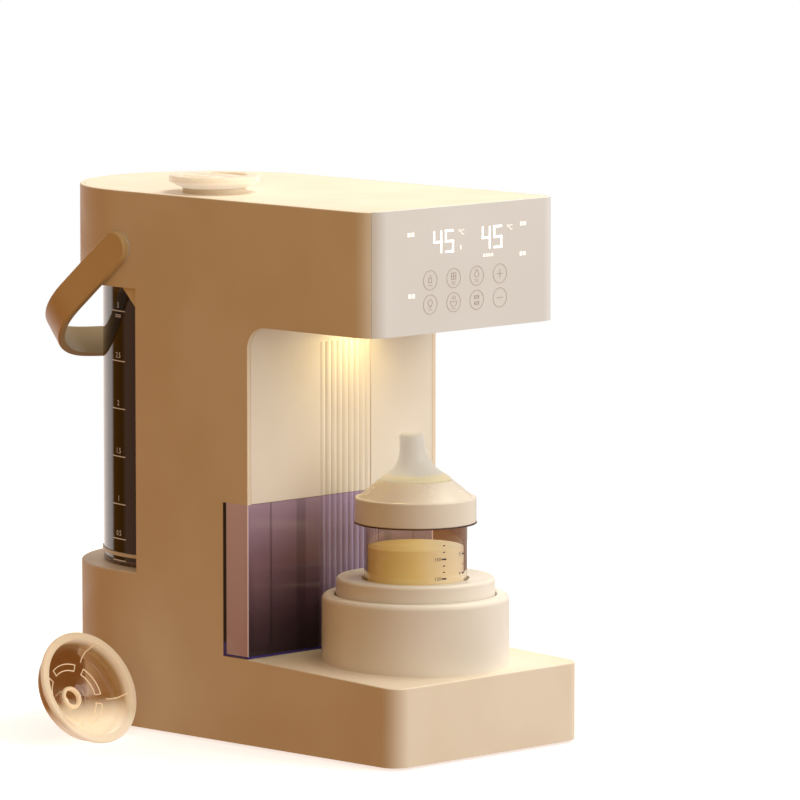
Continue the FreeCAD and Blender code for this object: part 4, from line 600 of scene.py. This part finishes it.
def on_panel(form):
    """Moves flat print onto the front of the control panel."""
    bmesh.ops.translate(form, vec=(0, PANEL_Y - PRINT_GAP - PRINT_T / 2, 0), verts=form.verts)


# ---- control panel ----
SEGMENTS = {
    "4": "left_high middle right_high right_low",
    "5": "top left_high middle right_low bottom",
}
NUMBER = "45"
NUMBER_LEFTS = (-29.6, 14.0)    # x of each number's left edge
NUMBER_FOOT = 321.0             # z of its lower edge
DIGIT_SIZE = Vector((7.6, 14.4))
DIGIT_PEN = 1.25
DIGIT_PITCH = 10.5
DEGREE_MARKS = ((-6.2, 334.2), (37.4, 334.4))
UNIT_TICK = ((-5.2, 322.6), (-5.2, 324.6))
# Blocks in the place of lit words: x and z of a row's middle, how many, how large.
LABEL_BLOCKS = ((-49.7, 334.3, 2, 2.8), (-49.1, 295.6, 2, 2.8), (51.2, 335.0, 2, 2.6),
                (50.9, 315.9, 2, 2.6), (19.4, 317.0, 4, 2.0))
BLOCK_GAP = 0.5
KEY_COLUMNS = (-32.4, -11.5, 9.3, 30.3)
KEY_ROWS = (304.6, 289.3)
KEY_R = 6.1
KEY_LINE = 0.42


def seven_segment(form, digit, low_x, low_z):
    """One digit of a seven-segment display, from its lower left corner."""
    inset = DIGIT_PEN / 2
    left, right = low_x + inset, low_x + DIGIT_SIZE.x - inset
    low, high = low_z + inset, low_z + DIGIT_SIZE.y - inset
    waist = (low + high) / 2
    lines = {
        "top": ((left, high), (right, high)),
        "middle": ((left, waist), (right, waist)),
        "bottom": ((left, low), (right, low)),
        "left_high": ((left, waist), (left, high)),
        "right_high": ((right, waist), (right, high)),
        "left_low": ((left, low), (left, waist)),
        "right_low": ((right, low), (right, waist)),
    }
    for segment in SEGMENTS[digit].split():
        start, end = lines[segment]
        stroke(form, start, end, DIGIT_PEN)


def panel_digits():
    """Two lit numbers."""
    form = bmesh.new()
    for low_x in NUMBER_LEFTS:
        for place, digit in enumerate(NUMBER):
            seven_segment(form, digit, low_x + place * DIGIT_PITCH, NUMBER_FOOT)
    on_panel(form)
    finish_piece("panel_digits", form, "digits", "root")


def key_marks(form, x, z, marks):
    """Draws a key's picture: lines (x, z, x, z) and rounds (x, z, radius, start, sweep)."""
    for mark in marks:
        if len(mark) == 4:
            stroke(form, (x + mark[0], z + mark[1]), (x + mark[2], z + mark[3]), KEY_LINE)
        else:
            arc(form, (x + mark[0], z + mark[1]), mark[2], KEY_LINE, mark[3], mark[4], steps=12)


# Pictures of the keys, row by row, about the middle of each key.
BOTTLE_PICTURE = [
    (-1.3, -1.4, -1.3, 1.4), (1.3, -1.4, 1.3, 1.4), (-1.3, -1.4, 1.3, -1.4),
    (-1.3, 1.4, 1.3, 1.4), (0, 2.0, 0.9, 20, 140), (-1.6, -3.2, 1.6, -3.2),
]
GRID_PICTURE = [
    (-2.0, -0.8, -2.0, 3.2), (2.0, -0.8, 2.0, 3.2), (-2.0, -0.8, 2.0, -0.8),
    (-2.0, 3.2, 2.0, 3.2), (-2.0, 1.2, 2.0, 1.2), (0, -0.8, 0, 3.2),
    (-1.8, -2.6, 1.8, -2.6), (-1.2, -3.8, 1.2, -3.8),
]
DROP_PICTURE = [
    (0, 1.0, 1.9, -230, 280), (-1.2, 2.4, 0, 4.1), (1.2, 2.4, 0, 4.1),
    (-1.6, -2.6, 1.6, -2.6), (-0.9, -3.7, 0.9, -3.7),
]
PLUS_PICTURE = [(-2.7, 0, 2.7, 0), (0, -2.7, 0, 2.7)]
BULB_PICTURE = [
    (0, 1.2, 1.9, -50, 280), (-0.9, -0.5, -0.9, -1.5), (0.9, -0.5, 0.9, -1.5),
    (-0.9, -1.5, 0.9, -1.5), (-1.5, -3.3, 1.5, -3.3),
]
BOWL_PICTURE = [
    (0, 0.4, 3.0, 180, 180), (-3.0, 0.4, 3.0, 0.4), (-1.2, 1.8, -1.2, 3.4),
    (0.2, 1.8, 0.2, 4.0), (1.6, 1.8, 1.6, 3.4), (-1.5, -4.0, 1.5, -4.0),
]
BARS_PICTURE = [
    (-1.8, 2.7, 1.8, 2.7), (-1.8, 1.8, 1.8, 1.8), (-1.8, 0.9, 1.8, 0.9),
    (-1.8, -1.2, 1.8, -1.2), (-1.8, -2.1, 1.8, -2.1), (-1.8, -3.0, 1.8, -3.0),
    (-1.8, 0.9, -1.8, 2.7), (1.8, 0.9, 1.8, 2.7), (-1.8, -3.0, -1.8, -1.2),
    (1.8, -3.0, 1.8, -1.2),
]
MINUS_PICTURE = [(-2.7, 0, 2.7, 0)]
KEY_PICTURES = (
    (BOTTLE_PICTURE, GRID_PICTURE, DROP_PICTURE, PLUS_PICTURE),
    (BULB_PICTURE, BOWL_PICTURE, BARS_PICTURE, MINUS_PICTURE),
)


def panel_keys():
    """Eight touch keys: a thin circle each, with a plain picture in it."""
    form = bmesh.new()
    for z, row in zip(KEY_ROWS, KEY_PICTURES):
        for x, marks in zip(KEY_COLUMNS, row):
            arc(form, (x, z), KEY_R, KEY_LINE, steps=48)
            key_marks(form, x, z, marks)
    on_panel(form)
    finish_piece("panel_key_print", form, "grey_ink", "root")


def panel_labels():
    """Degree marks after the numbers, and blank blocks where the panel's lit words would be."""
    form = bmesh.new()
    for x, z in DEGREE_MARKS:
        arc(form, (x, z), 0.75, 0.4, steps=14)
        arc(form, (x + 3.1, z - 0.9), 1.45, 0.5, 50, 260, steps=14)
    stroke(form, *UNIT_TICK, 1.0)
    for x, z, count, size in LABEL_BLOCKS:
        pitch = size + BLOCK_GAP
        for place in range(count):
            middle = x + (place - (count - 1) / 2) * pitch
            for rise in (-size / 3, 0, size / 3):
                reach = size / 2 - 0.3
                stroke(form, (middle - reach, z + rise), (middle + reach, z + rise), size / 4)
            stroke(form, (middle, z - size / 3), (middle, z + size / 3), size / 4)
    on_panel(form)
    finish_piece("panel_label_blocks", form, "label", "root")


# ---- scales ----
# Heights of the tank's dashes and the number over each; the lowest has none.
TANK_MARKS = (
    (269.6, "3"), (236.9, "2.5"), (205.7, "2"), (174.4, "1.5"), (143.1, "1"),
    (120.3, "0.5"), (106.1, ""),
)
TANK_SCALE_ANGLE = 168.0        # degrees round the tank from +X
TANK_DASH = 15.4
TANK_NUMBER = 3.6
WORD_BARS = (-2.6, -3.8)        # below the top dash, in the place of a word
WORD_REACH = 3.2
# The bottle's columns: degrees round it, (height, is a large mark) for each, their numbers.
BOTTLE_COLUMNS = (
    (-102, ((132.6, 0), (128.4, 0), (123.9, 1), (119.6, 0), (115.6, 0), (111.4, 1)),
     ("150", "120")),
    (-69, ((132.0, 0), (125.8, 1), (119.0, 0), (113.4, 1)), ("5", "4")),
)
BOTTLE_SCALE_ANGLE = -85.5      # degrees between the two columns, where x is 0


def tank_scale():
    """Water levels in litres, printed up the tank's left side."""
    form = bmesh.new()
    for z, text in TANK_MARKS:
        stroke(form, (-TANK_DASH / 2, z), (TANK_DASH / 2, z), 0.7)
        if text:
            numeral(form, text, (0, z + TANK_NUMBER), TANK_NUMBER)
    for rise in WORD_BARS:
        z = TANK_MARKS[0][0] + rise
        stroke(form, (-WORD_REACH, z), (WORD_REACH, z), 0.6)
    wrap(form, TANK_AXIS, TANK_R, TANK_SCALE_ANGLE)
    finish_piece("tank_scale_print", form, "white_ink_glow", "root")


def bottle_scale():
    """Two columns of levels on the bottle, each with two numbered marks."""
    form = bmesh.new()
    for angle, marks, numbers in BOTTLE_COLUMNS:
        x = math.radians(angle - BOTTLE_SCALE_ANGLE) * BOTTLE_R
        named = iter(numbers)
        for z, large in marks:
            half = 1.4 if large else 0.5
            stroke(form, (x - half, z), (x + half, z), 1.0 if large else 0.75)
            if large:
                numeral(form, next(named), (x - 4.6, z), 2.2)
    wrap(form, BOTTLE_AXIS, BOTTLE_R, BOTTLE_SCALE_ANGLE)
    finish_piece("bottle_scale_print", form, "dark_ink", "bottle")


# ---- funnel and collar ----
RIB_COUNT = 5
RIB_PHASE = 59.0      # where the first radial rib stands, degrees
RIB_SWEEP = 1.1       # degrees that a radial rib takes up
PAD_RADII = (17.6, 21.6)
PAD_SWEEP = 55.0
PAD_END_SWEEP = 1.2
RIDGE = 0.55
SUNK = 0.2            # how far a relief starts inside the dish's wall


def dish_depth(radius):
    """Depth of the funnel's dish at a radius, below the plane of its mouth."""
    slope = (DISH_HEEL.y - DISH_THROAT.y) / (DISH_HEEL.x - DISH_THROAT.x)
    return DISH_THROAT.y + slope * (radius - DISH_THROAT.x)


def section_face(part, corners):
    """One face in a plane through the axis, from corners (radius, height)."""
    part.faces.new([part.verts.new((r, 0, z)) for r, z in corners])


def ridge(form, radius, start, sweep, width=RIDGE, rise=RIDGE, steps=14):
    """Raised line on the dish, at one radius from the axis."""
    part = bmesh.new()
    inner, outer = radius - width / 2, radius + width / 2
    section_face(part, [
        (inner, dish_depth(inner) - SUNK), (outer, dish_depth(outer) - SUNK),
        (outer, dish_depth(outer) + rise * 0.7), (radius, dish_depth(radius) + rise),
        (inner, dish_depth(inner) + rise * 0.7)])
    spun(part, UP, sweep, steps)
    put(form, part, Matrix.Rotation(math.radians(start), 4, "Z"))


def funnel_relief():
    """Five curved pads and five ribs moulded in the funnel's dish, and a lip round its hole."""
    form = bmesh.new()
    wall_rib = [
        (24.5, dish_depth(24.5) - SUNK), (28.0, dish_depth(28.0) - SUNK), (31.4, -12.0),
        (32.4, -3.0), (31.8, -3.0), (30.6, -11.5), (27.6, dish_depth(27.6) + 0.6),
        (24.5, dish_depth(24.5) + 0.5)]
    pitch = 360 / RIB_COUNT
    for turn in range(RIB_COUNT):
        middle = RIB_PHASE + (turn + 0.5) * pitch
        start = middle - PAD_SWEEP / 2
        for radius in PAD_RADII:
            ridge(form, radius, start, PAD_SWEEP)
        across = (PAD_RADII[0] + PAD_RADII[1]) / 2
        for end in (start, start + PAD_SWEEP - PAD_END_SWEEP):
            ridge(form, across, end, PAD_END_SWEEP, width=PAD_RADII[1] - PAD_RADII[0], steps=2)
        part = bmesh.new()
        section_face(part, wall_rib)
        spun(part, UP, RIB_SWEEP, 2)
        rib_start = RIB_PHASE + turn * pitch - RIB_SWEEP / 2
        put(form, part, Matrix.Rotation(math.radians(rib_start), 4, "Z"))
    lip = bmesh.new()
    section_face(lip, [
        (5.1, -21.9), (7.6, -20.9), (7.2, -19.4), (6.2, -18.7), (5.3, -19.4)])
    spun(lip, UP, 360.0, 48)
    put(form, lip)
    bmesh.ops.transform(form, matrix=FUNNEL_PLACE, verts=form.verts)
    finish_piece("funnel_relief", form, "funnel_rib_glow", "funnel")


def collar_lip():
    """Thin sealing lip that shows as a dark amber line below the collar."""
    form = bmesh.new()
    low, high = COLLAR_LOW.z - 0.7, COLLAR_LOW.z - 0.05
    inner, outer = BOTTLE_R + 0.25, (COLLAR_HIGH.x - COLLAR_LOW.x) / 2 + 0.5
    section_face(form, [(inner, low + 0.2), (outer - 0.3, low), (outer, low + 0.3),
                        (outer - 0.3, high), (inner, high)])
    spun(form, UP, 360.0, 96)
    bmesh.ops.recalc_face_normals(form, faces=form.faces)
    bmesh.ops.translate(form, vec=BOTTLE_AXIS, verts=form.verts)
    finish_piece("collar_seal_lip", form, "amber", "collar")


# ---- teat and smoked cover's edges ----
TEAT_LEAN = Vector((-1.9, 1.9, 0))     # how far the soft tip leans from the bottle's axis
EDGE_OUT = 0.25       # how far the cover's edge lines stand out from its faces
BACK_SHADE_DEPTH = 2.6      # the strip of painted shade down the cover's back edge, front to back
BACK_SHADE_FOOT = 9.0       # height of that edge's low part, which is a violet painted glow instead
LOWER_EDGE = 1.3      # height of the violet painted glow along the cover's foot


def soft_teat():
    """Silicone teat: a flange under the collar, a wide foot that flares into a straight tip."""
    low, foot, top = TEAT_LOW.z, COLLAR_HIGH.z, TEAT_HIGH.z
    flange_r = (TEAT_HIGH.x - TEAT_LOW.x) / 2
    form = bmesh.new()
    section_face(form, [
        (22.4, low), (flange_r, low), (flange_r, low + 1.8), (27.5, low + 1.8),
        (21.1, low + 5.8), (21.1, foot + 0.1), (22.9, foot + 0.1), (22.7, foot + 1.2),
        (20.4, foot + 2.9), (17.6, foot + 4.7), (15.0, foot + 6.7), (12.7, foot + 9.0),
        (10.9, foot + 11.6), (9.6, foot + 14.4), (8.8, foot + 17.4), (8.4, foot + 20.6),
        (8.2, foot + 24.0), (8.0, top - 2.4), (7.6, top - 1.0), (6.6, top - 0.2), (5.0, top),
        (0, top), (0, top - 1.8), (5.6, top - 1.9), (6.4, top - 3.4), (6.7, foot + 20.6),
        (7.6, foot + 15.6), (9.4, foot + 11.2), (12.4, foot + 7.0), (16.4, foot + 3.4),
        (19.3, foot - 1.0), (19.3, low + 4.0)])
    spun(form, UP, 360.0, 64)
    bmesh.ops.remove_doubles(form, verts=form.verts, dist=0.01)
    bmesh.ops.recalc_face_normals(form, faces=form.faces)
    for vert in form.verts:
        rise = max(0.0, (vert.co.z - foot) / (top - foot))
        vert.co += TEAT_LEAN * rise
    for face in form.faces:
        face.smooth = True
    bmesh.ops.translate(form, vec=BOTTLE_AXIS, verts=form.verts)
    made = finish_piece("soft_teat", form, "silicone", "teat")
    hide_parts("bottle_teat")


def strip(form, low, high, edge=0.12):
    """Thin bar between two corners, its edges broken."""
    part = bmesh.new()
    bmesh.ops.create_cube(part, size=1.0)
    bmesh.ops.scale(part, vec=Vector(high) - Vector(low), verts=part.verts)
    bmesh.ops.bevel(part, geom=part.edges[:], offset=edge, segments=2, profile=0.5,
                    affect="EDGES", material=-1)
    put(form, part, Matrix.Translation((Vector(low) + Vector(high)) / 2))


def smoked_cover_edges():
    """Painted shade down the cover's back edges, a violet painted glow at its foot, pale painted
    highlights at its front corners.
    """
    back_edge_shade, lower, corner = bmesh.new(), bmesh.new(), bmesh.new()
    left, front, low = SMOKED_LOW
    right, back, high = SMOKED_HIGH
    back_shade_front, back_shade_back, edge_top = back - BACK_SHADE_DEPTH, back + 0.2, low + LOWER_EDGE
    for side in (left, right):
        out = math.copysign(EDGE_OUT, side)
        inner, outer = sorted((side - 4 * out, side + out))
        strip(back_edge_shade, (inner, back_shade_front, low + BACK_SHADE_FOOT), (outer, back_shade_back, high))
        strip(lower, (inner, back_shade_front, low), (outer, back_shade_back, low + BACK_SHADE_FOOT))
        strip(lower, (inner, front, low), (outer, back_shade_front, edge_top))
        inner, outer = sorted((side - 1.6 * out, side + 0.6 * out))
        strip(corner, (inner, front - 0.15, edge_top), (outer, front + 0.3, high - 0.4), 0.05)
    strip(lower, (left, front - EDGE_OUT, low), (right, front + 0.8, edge_top))
    # The dark strips stand for shade, the violet and pale ones for light: all painted.
    finish_piece("cover_back_edge_shade", back_edge_shade, "nylon", "root")
    finish_piece("cover_lower_edge_glow", lower, "violet_edge_glow", "root")
    finish_piece("cover_corner_highlight", corner, "pale_edge_highlight", "root")


# ---- stage, light and camera ----
def area_light(name, place, target, size, watts, colour):
    """Rectangular light that faces a target."""
    lamp = bpy.data.lights.new(name, "AREA")
    lamp.shape = "RECTANGLE"
    lamp.size, lamp.size_y = size
    lamp.energy = watts
    lamp.color = linear(colour)[:3]
    made = bpy.data.objects.new(name, lamp)
    bpy.context.scene.collection.objects.link(made)
    made.location = place
    made.rotation_euler = (Vector(target) - Vector(place)).to_track_quat("-Z", "Y").to_euler()
    return made


def make_stage():
    """Pale studio floor: the eye sees it, but it throws no light up under the object."""
    form = bmesh.new()
    bmesh.ops.create_circle(form, cap_ends=True, segments=96, radius=FLOOR_R)
    mesh = bpy.data.meshes.new("studio_floor")
    form.to_mesh(mesh)
    form.free()
    # Painted white floor, matt: soft shadows fade out on it into the white backdrop.
    material, tree, shader = start_material(
        "painted_studio_floor_white", Base_Color=linear("#fbfaf8"), Roughness=0.8,
        Emission_Color=linear("#ffffff"), Emission_Strength=FLOOR_GLOW)
    grain(tree, shader, 30.0, 0.02)
    mesh.materials.append(material)
    floor = bpy.data.objects.new("studio_floor", mesh)
    bpy.context.scene.collection.objects.link(floor)
    floor.visible_diffuse = False
    floor.visible_glossy = False
    floor.visible_transmission = False


def make_world():
    """White to the eye; the room's own light runs from warm brown at the left to white."""
    world = bpy.data.worlds.new("studio_room")
    world.use_nodes = True
    tree = world.node_tree
    backdrop = tree.nodes["Background"]
    backdrop.inputs["Color"].default_value = linear("#ffffff")
    backdrop.inputs["Strength"].default_value = 1.0
    place = add(tree, "ShaderNodeTexCoord").outputs["Generated"]
    seen = add(tree, "ShaderNodeLightPath").outputs
    bright = remap(tree, along(tree, place, ROOM_BRIGHT_SIDE), -0.5, 0.9)
    room = ramp(tree, bright, hex_stops((0.0, ROOM_DARK), (1.0, ROOM_BRIGHT)), "EASE")
    # One paler patch of the wall at the back left, which only glossy faces mirror.
    patch = remap(tree, along(tree, place, MIRRORED_SIDE), *PATCH_EDGE)
    mirrored = reckon(tree, "MULTIPLY", patch, seen["Is Glossy Ray"])
    room = mixed(tree, mirrored, room, linear(MIRRORED_WALL))
    # The white sheet shows in gloss; less of it reaches the dull cream.
    sheet = remap(tree, along(tree, place, BACKDROP_SIDE), *SHEET_EDGE)
    spill = remap(tree, seen["Is Diffuse Ray"], 0.0, 1.0, low=1.0, high=SHEET_SPILL)
    shown = reckon(tree, "MULTIPLY", sheet, spill)
    room = mixed(tree, shown, room, [SHEET_GLOW * channel for channel in linear(SHEET)])
    # What the clear parts let through is the room's deep brown, so they stand out on white.
    room = mixed(tree, seen["Is Transmission Ray"], room, linear(ROOM_DEEP))
    lighting = add(tree, "ShaderNodeBackground", {"Color": room, "Strength": ROOM_STRENGTH})
    both = add(tree, "ShaderNodeMixShader", {
        0: seen["Is Camera Ray"], 1: lighting.outputs["Background"],
        2: backdrop.outputs["Background"]})
    tree.links.new(both.outputs["Shader"], tree.nodes["World Output"].inputs["Surface"])
    bpy.context.scene.world = world


def make_light():
    """Two softboxes, a small yellow card at the left, and the bay's own lamp."""
    for light in STUDIO_LIGHTS:
        area_light(*light)
    lens = (LENS_LOW + LENS_HIGH) / 2 * MM
    area_light("bay_lamp", (lens.x, lens.y, (LENS_LOW.z - 1.0) * MM),
               (lens.x + BAY_LAMP_AIM[0], lens.y + BAY_LAMP_AIM[1], 0.0),
               BAY_LAMP_SIZE, BAY_LAMP_WATTS, "#ffe7a8")


def make_camera():
    camera_data = bpy.data.cameras.new("front_left_camera")
    camera_data.lens = CAMERA_LENS
    camera_data.sensor_width = 36.0
    camera_data.clip_end = 50.0
    camera = bpy.data.objects.new("front_left_camera", camera_data)
    bpy.context.scene.collection.objects.link(camera)
    camera.location = CAMERA_PLACE
    camera.rotation_euler = (math.radians(90 - CAMERA_DIP), 0, math.radians(CAMERA_TURN))
    bpy.context.scene.camera = camera


for make in (panel_digits, panel_keys, panel_labels, tank_scale, bottle_scale, funnel_relief,
             collar_lip, soft_teat, smoked_cover_edges, make_stage, make_world, make_light,
             make_camera):
    make()
bpy.context.scene.view_settings.view_transform = "Standard"
